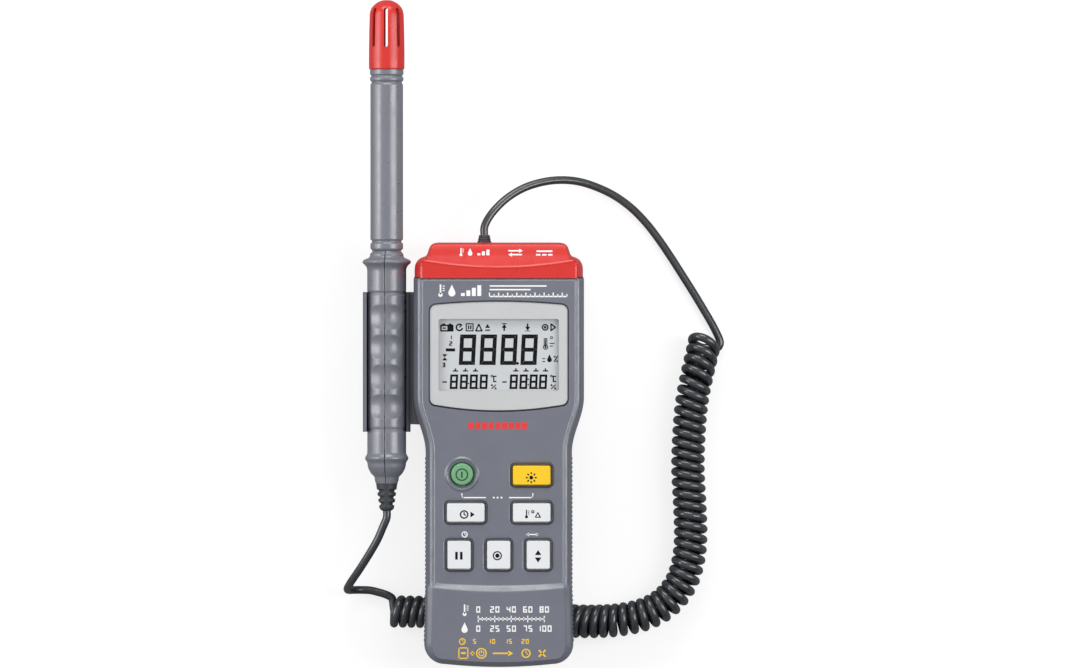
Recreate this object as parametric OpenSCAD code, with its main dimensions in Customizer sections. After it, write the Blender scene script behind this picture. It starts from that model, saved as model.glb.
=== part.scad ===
// Handheld digital thermo-hygrometer: meter, probe in a side clip and curly cord.
// Millimetres. Seen from the front, +X is right, +Y runs to the sensor end and +Z comes out of the face.
// The origin is the centre of the head's flat back, which lies on the table at z = 0.

/* [Meter body] */
// Width of the head round the display
head_w = 75; // [74:0.5:77]
// Thickness from the head's back to the rim of its face
body_t = 40; // [39.5:0.1:41]
// Width of the grip below the waist
grip_w = 64.4; // [64:0.2:66]
// Height of the grip's back over the table
grip_back_z = 15.6; // [15.5:0.1:16]
// Wall of both shells and of the end cap
wall = 2.4; // [2.2:0.1:2.6]
// Height at which the two shells meet
parting_z = 26; // [25:0.5:27]
// Depth of the panel inside the rim of the face
panel_drop = 0.5; // [0.3:0.1:0.7]
// Rise of the face over the battery
chin_rise = 1.4; // [1:0.1:1.6]

/* [Display] */
// Width of the display window
window_w = 60.7; // [60:0.1:61]
// Width of the visible liquid crystal
glass_view_w = 52.9; // [52:0.1:53.5]
// Height of the visible liquid crystal
glass_view_h = 31.7; // [31:0.1:32]

/* [Keys] */
// How far a key stands out of the panel
key_stand = 1.5; // [1.3:0.1:1.7]
// Travel of a key
key_travel = 1; // [0.8:0.1:1]
// Clearance round a key in its hole
key_gap = 0.35; // [0.3:0.05:0.5]

/* [Probe] */
// Sideways place of the probe's axis
probe_x = -49.4; // [-49.6:0.1:-49.2]
// Height of the probe's axis over the table
probe_z = 26; // [25.8:0.1:26.2]
// Radius of the handle's grip
handle_r = 8.5; // [8.4:0.05:8.6]
// Radius of the long tube
tube_r = 7.2; // [7.1:0.05:7.3]
// Wall of the clip
clip_wall = 1.7; // [1.5:0.1:1.9]

/* [Cord] */
// Diameter of the cord
cord_d = 3.5; // [3.4:0.05:3.6]
// Radius of a curl, to the middle of the cord
curl_r = 5.75; // [5.7:0.05:5.8]

/* [Hidden] */

$fn = 48;

// Colours of the materials
grey = [0.46, 0.47, 0.52];
red = [0.90, 0.27, 0.25];
dark = [0.25, 0.27, 0.29];
silver = [0.83, 0.84, 0.85];
white = [0.90, 0.90, 0.91];
yellow = [0.97, 0.80, 0.13];
green = [0.47, 0.75, 0.53];
board_green = [0.10, 0.35, 0.20];
metal = [0.75, 0.75, 0.76];

// Heights along Y of the meter's features
head_top_y = 36.4;
cap_top_y = 52.2;
waist_top_y = -16;
waist_end_y = -40;
back_slope_top_y = -26;
back_slope_end_y = -50;
chin_top_y = -98.2;
chin_end_y = -101.5;
corner_y = -124.3;
bottom_y = -134.6;

// Half widths of the bottom end
foot_half = 32.8;
corner_r = 9;
bottom_sag = 1.3;

// Thin air between two pieces that lie together
air = 0.05;

function smooth(u) = let (c = min(max(u, 0), 1)) c * c * (3 - 2 * c);
function mix(a, b, u) = a + (b - a) * u;

// Heights of the back and of the face along the body
back_z = function (y) grip_back_z * smooth((back_slope_top_y - y) / (back_slope_top_y - back_slope_end_y));
face_z = function (y) body_t + chin_rise * smooth((chin_top_y - y) / (chin_top_y - chin_end_y));
parting = flat_at(parting_z);
panel_z = body_t - panel_drop;

// Right half of the body's outline, from the end cap down, as [half width, y]
body_side = concat(
    [[head_w / 2, head_top_y], [head_w / 2, waist_top_y]],
    [for (u = [1 / 8 : 1 / 8 : 1])
        [mix(head_w, grip_w, smooth(u)) / 2, mix(waist_top_y, waist_end_y, u)]],
    [[grip_w / 2, -45], [grip_w / 2, back_slope_end_y], [grip_w / 2, chin_top_y]],
    [[grip_w / 2 + 0.1, chin_end_y]],
    [for (a = [0 : 18 : 90])
        [foot_half - corner_r + corner_r * cos(a), corner_y - corner_r * sin(a)]],
    [for (x = [18, 11, 4])
        [x, bottom_y + bottom_sag * pow(x / (foot_half - corner_r), 2)]]
);

// Right half of the end cap's outline, from its top end down
cap_side = concat(
    [for (a = [90 : -22.5 : 10]) [27.9 + 2.6 * cos(a), cap_top_y - 2.6 + 2.6 * sin(a)]],
    [[31.4, 46.5]],
    [for (a = [90 : -18 : 0]) [33 + 4 * cos(a), 41.9 + 4 * sin(a)]],
    [[37, head_top_y + air]]
);

// A half outline moved inwards by d
function inset(side, d) = [for (i = [0 : len(side) - 1])
    let (
        across = side[i][0] > 10 ? side[i] : [-side[i][0], side[i][1]],
        next = i == len(side) - 1 ? across : side[i + 1],
        along = next - side[max(i - 1, 0)]
    )
    side[i] + d * [along[1], -along[0]] / norm(along)];

// A half outline with its mirror image, as one closed outline
function ring(side) = concat(side, [for (i = [len(side) - 1 : -1 : 0]) [-side[i][0], side[i][1]]]);

// One level of a loft: the outline moved inwards by d, dz above the height that z_of gives
function level(side, d, z_of, dz = 0) = [for (p = ring(inset(side, d))) [p[0], p[1], z_of(p[1]) + dz]];

function two_triangles(a, b, c, d) = [[a, b, c], [a, c, d]];

// A closed solid through levels that rise from low to high
module loft(levels) {
    m = len(levels[0]);
    top = m * (len(levels) - 1);
    walls = [for (k = [0 : len(levels) - 2], i = [0 : m - 1])
        let (j = (i + 1) % m)
        each two_triangles(k * m + i, k * m + j, (k + 1) * m + j, (k + 1) * m + i)];
    lids = [for (i = [0 : m / 2 - 2])
        each concat(
            two_triangles(top + i, top + i + 1, top + m - 2 - i, top + m - 1 - i),
            two_triangles(m - 1 - i, m - 2 - i, i + 1, i)
        )];
    polyhedron(points = [for (l = levels) each l], faces = concat(walls, lids), convexity = 6);
}

// A rectangle with round corners, as points
function rounded(w, h, r) = [for (q = [0 : 3], a = [0 : 30 : 90])
    let (sx = q == 0 || q == 3 ? 1 : -1, sy = q < 2 ? 1 : -1)
    [sx * (w / 2 - r) + r * cos(90 * q + a), sy * (h / 2 - r) + r * sin(90 * q + a)]];

// A straight block of such a rectangle, from z0 to z1
module block(x, y, w, h, r, z0, z1) {
    translate([x, y, z0]) linear_extrude(z1 - z0) polygon(rounded(w, h, r));
}

// A box between two corners
module box(low, high) {
    translate(low) cube(high - low);
}

// A round bar along Y, X or Z from its lower end
module bar_y(x, y0, y1, z, r) {
    translate([x, y0, z]) rotate([-90, 0, 0]) cylinder(h = y1 - y0, r = r);
}
module bar_x(x0, x1, y, z, r) {
    translate([x0, y, z]) rotate([0, 90, 0]) cylinder(h = x1 - x0, r = r);
}
module bar_z(x, y, z0, z1, r) {
    translate([x, y, z0]) cylinder(h = z1 - z0, r = r);
}

// A body turned about the probe's axis, from points [radius, y]
module turned(points) {
    translate([probe_x, 0, probe_z]) rotate([-90, 0, 0]) rotate_extrude() polygon(points);
}

// Keys as [x, y, width, height]; the round power key has one size
key_r = 4.8;
power_at = [-16.1, -49.7];
light_key = [14.5, -50.2, 16.8, 8.7];
time_key = [-14.5, -66.6, 16.8, 8.4];
units_key = [14.5, -66.6, 16.8, 8.4];
hold_key = [-17.4, -85.2, 10.5, 12.6];
record_key = [0, -85.2, 10.5, 12.6];
max_min_key = [17.4, -85.2, 10.5, 12.6];
square_keys = [light_key, time_key, units_key, hold_key, record_key, max_min_key];
all_keys = concat([power_at], square_keys);
key_corner = 1;
key_top_z = panel_z + key_stand;
flange_top_z = body_t - wall - 0.2;
flange_z = flange_top_z - 0.9;
flange_lip = 0.7;
stem_r = 2;
recess_gap = 1.05;
recess_depth = 0.8;
power_dish_r = 7.65;

// The board, its switches and the mat
board_z = 30;
board_top_z = 31.6;
switch_top_z = board_top_z + air + 1.35;
stem_end_z = switch_top_z + key_travel + 0.15;
mat_z = stem_end_z;
mat_top_z = flange_z - key_travel - 0.15;

// The display window, which dips at its lower edge and rises at its upper one
window_top_y = 24.6;
window_low_y = -19.1;
window_bow = 1.6;
window_dip = 2.9;
window_corner = 2.9;
window_t = 0.8;
bezel_t = 0.3;
view_mid_y = 2.65;

function window_edge(x, side) = side > 0 ? window_top_y + window_bow * (1 - pow(2 * x / window_w, 2))
    : window_low_y - window_dip * (1 - pow(2 * x / window_w, 2));

// Right half of the window's outline, from the middle of its upper edge to that of its lower one
function window_side(grow) = let (flat = window_w / 2 - window_corner, r = window_corner + grow) concat(
    [for (x = [flat / 8, flat / 2]) [x, window_edge(x, 1) + grow]],
    [for (a = [90 : -15 : 0])
        [flat + r * cos(a), window_edge(flat, 1) - window_corner + r * sin(a)]],
    [for (a = [0 : -15 : -90])
        [flat + r * cos(a), window_edge(flat, -1) + window_corner + r * sin(a)]],
    [for (x = [flat / 2, flat / 8]) [x, window_edge(x, -1) - grow]]
);
function window_outline(grow) = ring(window_side(grow));

// The battery lies across the chin
battery_x = -27.8;
battery_y = -128.2;
battery_z = grip_back_z + wall + air;
battery_l = 46;
battery_w = 26.5;
battery_t = 17.5;
stud_h = 2.5;

// The battery door lies in the grip's back and slides off past the bottom end
door_top_y = -99;
door_half = 25;
door_t = 1.6;

// Screw places
head_screw = [31.2, 28];
grip_screw = [25.9, -95.8];
screw_r = 1.3;
screw_head_r = 2.7;
boss_r = 3.5;

// Sockets in the end cap
socket_z = 20;
sensor_x = -6.4;
data_x = 8.4;
dc_x = 20.8;
plug_r = 4.6;
shell_r = 4.2;
jack_r = 1.8;

// Clip and foot of the probe holder
clip_y0 = -31.2;
clip_y1 = 30.4;
clip_in_r = handle_r + 0.3;
clip_out_r = clip_in_r + clip_wall;
lip_z = 27.5;
foot_z0 = 16.5;
foot_z1 = 25;
holder_screw_y = [19, -8];
holder_screw_z = 20.5;
holder_screw_r = 1.3;

// Front half of the case
module front_shell() {
    color(grey) difference() {
        union() {
            difference() {
                loft([
                    level(body_side, 0, parting),
                    level(body_side, 0, face_z, -3.4),
                    level(body_side, 0.25, face_z, -1.9),
                    level(body_side, 0.9, face_z, -0.8),
                    level(body_side, 1.8, face_z, -0.2),
                    level(body_side, 2.9, face_z)
                ]);
                loft([
                    level(open_side(), wall, parting, -1),
                    level(open_side(), wall, face_z, -wall)
                ]);
            }
            for (s = [-1, 1]) {
                bar_z(s * head_screw[0], head_screw[1], parting_z, body_t - 1, boss_r);
                bar_z(s * grip_screw[0], grip_screw[1], parting_z, body_t - 1, boss_r);
            }
        }
        panel_recess();
        window_pocket();
        for (k = square_keys) {
            block(k[0], k[1], k[2] + 2 * key_gap, k[3] + 2 * key_gap, key_corner, 30, 50);
            block(k[0], k[1], k[2] + 2 * recess_gap, k[3] + 2 * recess_gap, 2, panel_z - recess_depth, 50);
        }
        bar_z(power_at[0], power_at[1], 30, 50, key_r + key_gap);
        translate([power_at[0], power_at[1], panel_z - recess_depth])
            cylinder(h = recess_depth + 0.1, r1 = key_r + 0.9, r2 = power_dish_r);
        for (s = [-1, 1]) {
            bar_z(s * head_screw[0], head_screw[1], parting_z - 1, parting_z + 8.5, screw_r + air);
            bar_z(s * grip_screw[0], grip_screw[1], parting_z - 1, parting_z + 8.5, screw_r + air);
        }
    }
}

// The body's outline with its upper end drawn out, for a cavity that is open towards the end cap
function open_side() = concat([[body_side[0][0], head_top_y + 5]], [for (i = [1 : len(body_side) - 1]) body_side[i]]);

// The sunk panel, from the end cap to the slope of the chin
module panel_recess() {
    side = [for (p = inset(body_side, 4.3)) if (p[1] > chin_top_y + 2) p];
    low = [for (a = [0 : 30 : 90])
        [side[len(side) - 1][0] - 2.6 + 2.6 * cos(a), chin_top_y + 2.6 - 2.6 * sin(a)]];
    outline = concat([[side[0][0], head_top_y + 1]], [for (i = [1 : len(side) - 1]) side[i]], low);
    translate([0, 0, panel_z]) linear_extrude(3) polygon(ring(outline));
}

// The pocket that holds the window and its printed frame, and the opening behind it
module window_pocket() {
    translate([0, 0, panel_z - window_t - bezel_t - air]) linear_extrude(5) polygon(window_outline(0.15));
    block(0, view_mid_y, glass_view_w + 1, glass_view_h + 1, 1.2, 30, 50);
}

// Rear half of the case
module rear_shell() {
    color(grey) difference() {
        union() {
            difference() {
                loft([
                    level(body_side, 3, back_z),
                    level(body_side, 1.3, back_z, 0.7),
                    level(body_side, 0.4, back_z, 1.9),
                    level(body_side, 0, back_z, 3.4),
                    level(body_side, 0, parting, -air)
                ]);
                loft([
                    level(open_side(), wall + 0.8, back_z, wall),
                    level(open_side(), wall, back_z, wall + 1.5),
                    level(open_side(), wall, parting, 1)
                ]);
            }
            for (s = [-1, 1]) {
                bar_z(s * head_screw[0], head_screw[1], 1, parting_z - air, boss_r);
                bar_z(s * grip_screw[0], grip_screw[1], grip_back_z + 1, parting_z - air, boss_r);
            }
            door_ledge();
            board_posts();
        }
        for (s = [-1, 1]) {
            screw_hole(s * head_screw[0], head_screw[1], 0);
            screw_hole(s * grip_screw[0], grip_screw[1], grip_back_z);
        }
        door_cut();
        for (y = holder_screw_y) {
            bar_x(-head_w / 2 - 1, -head_w / 2 + wall + 1, y, holder_screw_z, holder_screw_r + 0.2);
        }
    }
}

module screw_hole(x, y, z) {
    bar_z(x, y, z - 1, parting_z + 1, screw_r + 0.15);
    bar_z(x, y, z - 1, z + 3.2, screw_head_r + 0.3);
}

// A stiff edge above the battery opening, into which the door's end slides
module door_ledge() {
    box([-door_half - 3, door_top_y - 2, grip_back_z + 0.5], [door_half + 3, door_top_y + 3, grip_back_z + 3.4]);
}

// Posts that hold the board from behind
module board_posts() {
    for (s = [-1, 1]) {
        bar_z(s * 25.5, -33, 6, board_z - air, 2.6);
        bar_z(s * 20, 27, 1, board_z - air, 2.6);
        bar_z(s * 20, -86, grip_back_z + 1, board_z - air, 2.6);
    }
}

// Space of the door and of the battery opening in the grip's back
module door_cut() {
    box([-door_half - 0.3, bottom_y - 5, grip_back_z - 1], [door_half + 0.3, door_top_y + 0.3, grip_back_z + door_t]);
    box([-door_half + 1.5, bottom_y + 4.5, grip_back_z - 1], [door_half - 1.5, door_top_y - 2.5, grip_back_z + 6]);
}

// Red end cap with the sockets' end face
module end_cap() {
    color(red) difference() {
        union() {
            loft([
                level(cap_side, 2.4, flat_at(0)),
                level(cap_side, 0.9, flat_at(0.7)),
                level(cap_side, 0.2, flat_at(1.8)),
                level(cap_side, 0, flat_at(3.2)),
                level(cap_side, 0, flat_at(body_t - 3)),
                level(cap_side, 0.2, flat_at(body_t - 1.8)),
                level(cap_side, 0.9, flat_at(body_t - 0.7)),
                level(cap_side, 2.4, flat_at(body_t))
            ]);
            box([-34.5, head_top_y - 3, wall + 1], [34.5, head_top_y + 2, body_t - wall - 0.3]);
        }
        box([-33, head_top_y - 4, wall + 2.5], [33, head_top_y + 1.4, body_t - wall - 1.8]);
        box([-26.6, head_top_y, wall], [26.6, cap_top_y - wall, 34]);
        cap_slope();
        bar_y(sensor_x, cap_top_y - 4, cap_top_y + 1, socket_z, plug_r + 0.3);
        bar_y(data_x, cap_top_y - 4, cap_top_y + 1, socket_z, 3.1);
        bar_y(dc_x, cap_top_y - 4, cap_top_y + 1, socket_z, 3.9);
    }
}

function flat_at(z) = function (y) z;

// The slope that falls from the smile-shaped ridge to the end face, drawn as what it cuts away
module cap_slope() {
    fall = 0.39;
    stations = [for (x = [-40 : 8 : 40]) [x, 41.1 + 2.8 * pow(x / 32.4, 2)]];
    far_y = cap_top_y + 2;
    levels = [for (s = stations)
        [[s[0], s[1], body_t + fall], [s[0], far_y, body_t - fall * (far_y - s[1] - 1)],
            [s[0], far_y, body_t + 6], [s[0], s[1], body_t + 6]]];
    last = 4 * (len(stations) - 1);
    walls = [for (k = [0 : len(stations) - 2], i = [0 : 3])
        let (j = (i + 1) % 4)
        each two_triangles(4 * k + 4 + i, 4 * k + 4 + j, 4 * k + j, 4 * k + i)];
    polyhedron(
        points = [for (l = levels) each l],
        faces = concat(walls, [[0, 1, 2, 3], [last + 3, last + 2, last + 1, last]])
    );
}

// Clear pane over the display
module display_window() {
    color("lightcyan") translate([0, 0, panel_z - window_t]) linear_extrude(window_t) polygon(window_outline(0));
}

// Silver frame printed behind the pane
module display_bezel() {
    color(silver) translate([0, 0, panel_z - window_t - bezel_t]) linear_extrude(bezel_t - air) difference() {
        polygon(window_outline(0));
        translate([0, view_mid_y]) polygon(rounded(glass_view_w, glass_view_h, 1));
    }
}

module lcd_panel() {
    color([0.83, 0.86, 0.87]) box([-27.6, -16.4, 35.2], [27.6, 21.6, 37.3]);
}

module lcd_frame() {
    color(white) difference() {
        box([-29.2, -18.4, board_top_z + air], [29.2, 23.4, 37.4]);
        box([-27.75, -16.55, 30], [27.75, 21.75, 39]);
    }
}

module backlight_panel() {
    color("ivory") box([-27.4, -13.4, 32.6], [27.4, 18.6, 35.1]);
}

module zebra_strips() {
    color("dimgray") for (y = [-16.2, 19.2]) {
        box([-25, y, board_top_z + air], [25, y + 2, 35.15]);
    }
}

module main_board() {
    color(board_green) difference() {
        union() {
            box([-29.4, -38, board_z], [29.4, 23.5, board_top_z]);
            box([-26.6, 20, board_z], [26.6, 32.5, board_top_z]);
            box([-25, -90, board_z], [25, -30, board_top_z]);
        }
        for (s = [-1, 1]) {
            bar_z(s * 25.5, -33, board_z - 1, board_top_z + 1, 1.3);
        }
    }
}

// Chips, crystal, buzzer and capacitors under the board
module board_components() {
    color("black") {
        low = board_z - air;
        box([-11, -12, low - 1.6], [3, 2, low]);
        box([8, -10, low - 1.5], [18, -2, low]);
        box([-20, -30, low - 1.5], [-10, -22, low]);
        box([-4, -34, low - 3.6], [7, -29.5, low]);
        bar_z(14, -58, low - 6.5, low, 6);
        for (x = [-18, -9]) {
            bar_z(x, 14, low - 9, low, 3.1);
        }
        box([-16, -78, low - 1.2], [-10, -66, low]);
    }
}

module tact_switches() {
    color("black") for (k = all_keys) {
        block(k[0], k[1], 6, 6, 0.6, board_top_z + air, switch_top_z);
    }
}

// Silicone sheet under the keys, with a hole round each stem
module keypad_mat() {
    color([0.35, 0.36, 0.40]) {
        difference() {
            block(0, -67, 53, 50, 3, mat_z, mat_top_z);
            for (k = all_keys) {
                bar_z(k[0], k[1], 30, 40, stem_r + 0.5);
            }
        }
        for (x = [-23, 23], y = [-45, -76]) {
            bar_z(x, y, board_top_z + air, mat_z + 0.1, 1.5);
        }
    }
}

module square_key(k, colour) {
    color(colour) {
        block(k[0], k[1], k[2], k[3], key_corner, flange_z, key_top_z);
        block(k[0], k[1], k[2] + 2 * (key_gap + flange_lip), k[3] + 2 * (key_gap + flange_lip),
            1.5, flange_z, flange_top_z);
        bar_z(k[0], k[1], stem_end_z, flange_z + 0.1, stem_r);
    }
}

module key_power() {
    color(green) {
        bar_z(power_at[0], power_at[1], flange_z, key_top_z, key_r);
        bar_z(power_at[0], power_at[1], flange_z, flange_top_z, key_r + key_gap + flange_lip);
        bar_z(power_at[0], power_at[1], stem_end_z, flange_z + 0.1, stem_r);
    }
}

module key_light() { square_key(light_key, yellow); }
module key_time() { square_key(time_key, white); }
module key_units() { square_key(units_key, white); }
module key_hold() { square_key(hold_key, white); }
module key_record() { square_key(record_key, white); }
module key_max_min() { square_key(max_min_key, white); }

// 9 volt block with its two studs, lying across the chin
module battery_9v() {
    color(dark) {
        box([battery_x, battery_y, battery_z], [battery_x + battery_l, battery_y + battery_w, battery_z + battery_t]);
        for (s = [-1, 1]) {
            bar_x(battery_x + battery_l, battery_x + battery_l + stud_h, stud_y(s), stud_z(), s > 0 ? 2.8 : 3.9);
        }
    }
}

function stud_y(s) = battery_y + battery_w / 2 + s * 6.35;
function stud_z() = battery_z + battery_t / 2;

// Clip that grips the battery's studs
module battery_snap() {
    x = battery_x + battery_l + 0.2;
    color("black") difference() {
        box([x, battery_y + 0.8, battery_z + 2], [x + 5, battery_y + battery_w - 0.8, battery_z + battery_t - 2]);
        for (s = [-1, 1]) {
            bar_x(x - 1, x + 2.9, stud_y(s), stud_z(), 4.1);
        }
    }
}

module battery_leads() {
    for (x = [19.4, 21.2]) {
        color(x > 20 ? "red" : "black") bar_y(x, battery_y + battery_w - 0.75, -90 - air, 30.8, 0.65);
    }
}

// Battery door with a thumb hollow; its end is the lower part of the body's end wall
module battery_door() {
    end = [for (p = body_side) if (p[0] < door_half && p[1] < corner_y) [p[0], p[1] + 2.2]];
    outline = concat([[door_half, door_top_y]], [[door_half, corner_y - 6.2]], end);
    color(grey) difference() {
        translate([0, 0, grip_back_z]) linear_extrude(door_t - 0.15) polygon(ring(outline));
        for (y = [-125 : 2.2 : -118]) {
            bar_x(-9, 9, y, grip_back_z, 0.6);
        }
    }
}

// Four case screws
module rear_screws() {
    color(metal) for (s = [-1, 1]) {
        case_screw(s * head_screw[0], head_screw[1], 0.9);
        case_screw(s * grip_screw[0], grip_screw[1], grip_back_z + 0.9);
    }
}

module case_screw(x, y, z) {
    difference() {
        bar_z(x, y, z, z + 2.2, screw_head_r);
        box([x - 1.9, y - 0.35, z - 1], [x + 1.9, y + 0.35, z + 1.1]);
        box([x - 0.35, y - 1.9, z - 1], [x + 0.35, y + 1.9, z + 1.1]);
    }
    bar_z(x, y, z + 2, parting_z + 8, screw_r);
}

// Round socket for the probe's plug
module sensor_socket() {
    color("black") difference() {
        bar_y(sensor_x, 33, cap_top_y - wall - 0.1, socket_z, 6.4);
        bar_y(sensor_x, 43.4, 60, socket_z, plug_r + 0.2);
        difference() {
            bar_y(sensor_x, 37.4, 44, socket_z, shell_r + 0.2);
            bar_y(sensor_x, 37, 43.2, socket_z, shell_r - 0.8);
        }
        for (a = [45 : 90 : 315]) {
            bar_y(sensor_x + 1.9 * cos(a), 37.4, 44, socket_z + 1.9 * sin(a), 0.7);
        }
    }
}

// 3.5 mm jack for the data lead
module data_jack() {
    color("black") difference() {
        union() {
            box([data_x - 4.2, 34, socket_z - 3.8], [data_x + 4.2, cap_top_y - wall - 0.1, socket_z + 4]);
            bar_y(data_x, 40, cap_top_y - 0.2, socket_z, 3);
        }
        bar_y(data_x, 37.8, cap_top_y + 1, socket_z, jack_r);
    }
}

// Barrel jack for the mains adapter, with its centre pin
module dc_jack() {
    color("black") {
        difference() {
            union() {
                box([dc_x - 4.5, 36, socket_z - 3.8], [dc_x + 4.5, cap_top_y - wall - 0.1, socket_z + 4.6]);
                bar_y(dc_x, 40, cap_top_y - 0.2, socket_z, 3.8);
            }
            bar_y(dc_x, 41, cap_top_y + 1, socket_z, 2.8);
        }
        bar_y(dc_x, 40.5, 50, socket_z, 1);
    }
}

// Small board that carries the three sockets
module socket_board() {
    color(board_green) box([-14, 33.5, 11.6], [26, 49, 13.2]);
    color("black") for (x = [data_x, dc_x]) {
        box([x - 3, 38, 13.1], [x + 3, 46, socket_z - 3.8 - air]);
    }
}

// Clip for the probe's handle, with the foot that follows the side of the body
module probe_holder() {
    side = [for (y = [clip_y1, waist_top_y]) [-head_w / 2 - 0.1, y]];
    waist = [for (u = [1 / 8 : 1 / 8 : 0.6]) let (y = mix(waist_top_y, waist_end_y, u))
        if (y > clip_y0 + 1.2) [-mix(head_w, grip_w, smooth(u)) / 2 - 0.1, y]];
    color(grey) difference() {
        union() {
            bar_y(probe_x, clip_y0, clip_y1, probe_z, clip_out_r);
            box([probe_x - clip_out_r, clip_y0, probe_z], [probe_x + clip_out_r, clip_y1, lip_z]);
            translate([0, 0, foot_z0]) linear_extrude(foot_z1 - foot_z0)
                polygon(concat([[probe_x + 3, clip_y1]], side, waist, [[probe_x + 3, clip_y0 + 3.5]]));
        }
        bar_y(probe_x, clip_y0 - 1, clip_y1 + 1, probe_z, clip_in_r);
        box([probe_x - clip_in_r, clip_y0 - 1, probe_z], [probe_x + clip_in_r, clip_y1 + 1, 40]);
        for (y = holder_screw_y) {
            bar_x(-head_w / 2 - 2.1, -head_w / 2 + 1, y, holder_screw_z, holder_screw_r + 0.1);
        }
    }
}

module holder_screws() {
    color(metal) for (y = holder_screw_y) {
        bar_x(-head_w / 2 - 2, -head_w / 2 + wall + 0.2, y, holder_screw_z, holder_screw_r);
        bar_x(-head_w / 2 + wall + 0.1, -head_w / 2 + wall + 2, y, holder_screw_z, screw_head_r);
    }
}

// Outline of the handle as [radius, y], from its neck down to the cord
handle_outline = [
    [6.4, 48.3], [6.5, 48], [7.25, 47.3], [7.4, 46.2], [8, 45.4], [9.1, 45], [10.2, 44.5], [10.6, 43.9],
    [10.6, 43.3], [10.1, 42.7], [9.2, 41.8], [8.75, 40.7], [8.6, 39.8], [8.6, 30.4], [8.35, 30.2], [8.35, 29.6],
    [handle_r, 29.2], [handle_r, -29.6], [8.35, -29.9], [8.35, -30.5], [8.55, -30.9], [8.55, -41], [9.2, -41.8],
    [9.5, -42.8], [9.2, -43.7], [8.5, -44.6], [8.35, -46.4], [7.7, -48.1], [6.6, -49.9], [5.4, -51.1],
    [5.3, -52.5], [4.85, -53.9]
];
handle_bore = [[3.7, -53.9], [3.7, -51], [5.6, -46], [6.3, -40], [6.3, 28], [5.4, 30], [5.4, 48.3]];
scallop_y = [19.4, 6.2, -7, -20.1];
scallop_r = 12;
scallop_depth = 1.7;

// One half of the handle: turn 0 is the right half and 180 the left one
module handle_half(turn) {
    color(grey) difference() {
        translate([probe_x, 0, probe_z]) rotate([-90, 0, 0]) rotate([0, 0, turn - 90])
            rotate_extrude(angle = 180) polygon(concat(handle_outline, handle_bore));
        for (y = scallop_y) {
            bar_x(probe_x - 12, probe_x + 12, y, probe_z + handle_r + scallop_r - scallop_depth, scallop_r);
        }
    }
}

module handle_right() { handle_half(0); }
module handle_left() { handle_half(180); }

// Long tube between the handle and the guard, with its rings
module stem_tube() {
    color(grey) turned([
        [5.3, 32], [5.3, 48.5], [6.5, 48.6], [7.25, 49.2], [7.25, 51.9], [6.7, 52.3], [6.7, 52.9], [tube_r, 53.2],
        [tube_r, 122.2], [6.8, 122.5], [6.8, 123], [7.4, 123.4], [7.4, 125], [6.95, 125.3], [6.95, 125.8],
        [7.4, 126.3], [7.4, 128.4], [6.3, 128.4], [6.3, 132], [5.6, 132], [5.6, 56], [4, 50], [4, 32]
    ]);
}

// Slotted guard over the sensors
guard_outline = [
    [7.8, 128.5], [7.85, 131], [7.82, 139], [7.6, 150], [7.45, 153.2], [7.05, 154.9], [6.2, 156.2],
    [5.1, 157.3], [3.7, 158.2], [2, 158.9], [0, 159.1], [0, 157.5], [2.7, 157.2], [4.6, 156.2], [5.8, 154.8],
    [6.3, 153], [6.4, 128.5]
];
guard_turn = -2.3;
slot_w = 1.7;
slot_y0 = 138.2;
slot_y1 = 155.5;

module sensor_guard() {
    color(red) difference() {
        turned(guard_outline);
        for (a = [0 : 45 : 315]) {
            translate([probe_x, 0, probe_z]) rotate([0, a + guard_turn, 0])
                box([-slot_w / 2, slot_y0, 4], [slot_w / 2, slot_y1, 9]);
        }
    }
}

module sensor_board() {
    color(board_green) box([probe_x - 2.3, 96, probe_z - 4.2], [probe_x - 1.1, 145, probe_z + 4.2]);
}

module humidity_sensor() {
    color("white") box([probe_x - 4, 139, probe_z - 2.6], [probe_x - 2.3 - air, 144, probe_z + 2.6]);
}

module temperature_sensor() {
    color(silver) bar_y(probe_x - 1.9, 145 + air, 149, probe_z, 0.75);
}

// Ribbed boot where the cord leaves the handle
module strain_relief() {
    ribs = [for (y = [-57.2, -60, -62.8], p = [[0, 0.9], [-0.75, 0.7], [-0.75, -0.5], [0, -0.7]])
        [boot_r(y + p[1]) + p[0], y + p[1]]];
    color(dark) turned(concat([[0, -50.5], [3.6, -50.5], [3.6, -53.95], [4.75, -53.95]], ribs,
        [[2.9, -65.1], [2.3, -65.6], [0, -65.6]]));
}

function boot_r(y) = mix(4.7, 3.2, (-54 - y) / 11);

module inner_cable() {
    color(dark) bar_y(probe_x, -50.4, 95.8, probe_z, 1.6);
}

// Plug of the cord, sunk into the end cap
module plug_body() {
    color(dark) {
        bar_y(sensor_x, 43.8, cap_top_y - 0.6, socket_z, plug_r);
        bar_y(sensor_x, cap_top_y - 0.7, lead_out_y, socket_z, 2.65);
    }
}

module plug_shell() {
    color(metal) difference() {
        bar_y(sensor_x, 38.2, 43.75, socket_z, shell_r);
        bar_y(sensor_x, 37, 45, socket_z, shell_r - 0.6);
    }
}

module plug_pins() {
    color(metal) for (a = [45 : 90 : 315]) {
        bar_y(sensor_x + 1.9 * cos(a), 38.6, 43.75, socket_z + 1.9 * sin(a), 0.5);
    }
}

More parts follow.
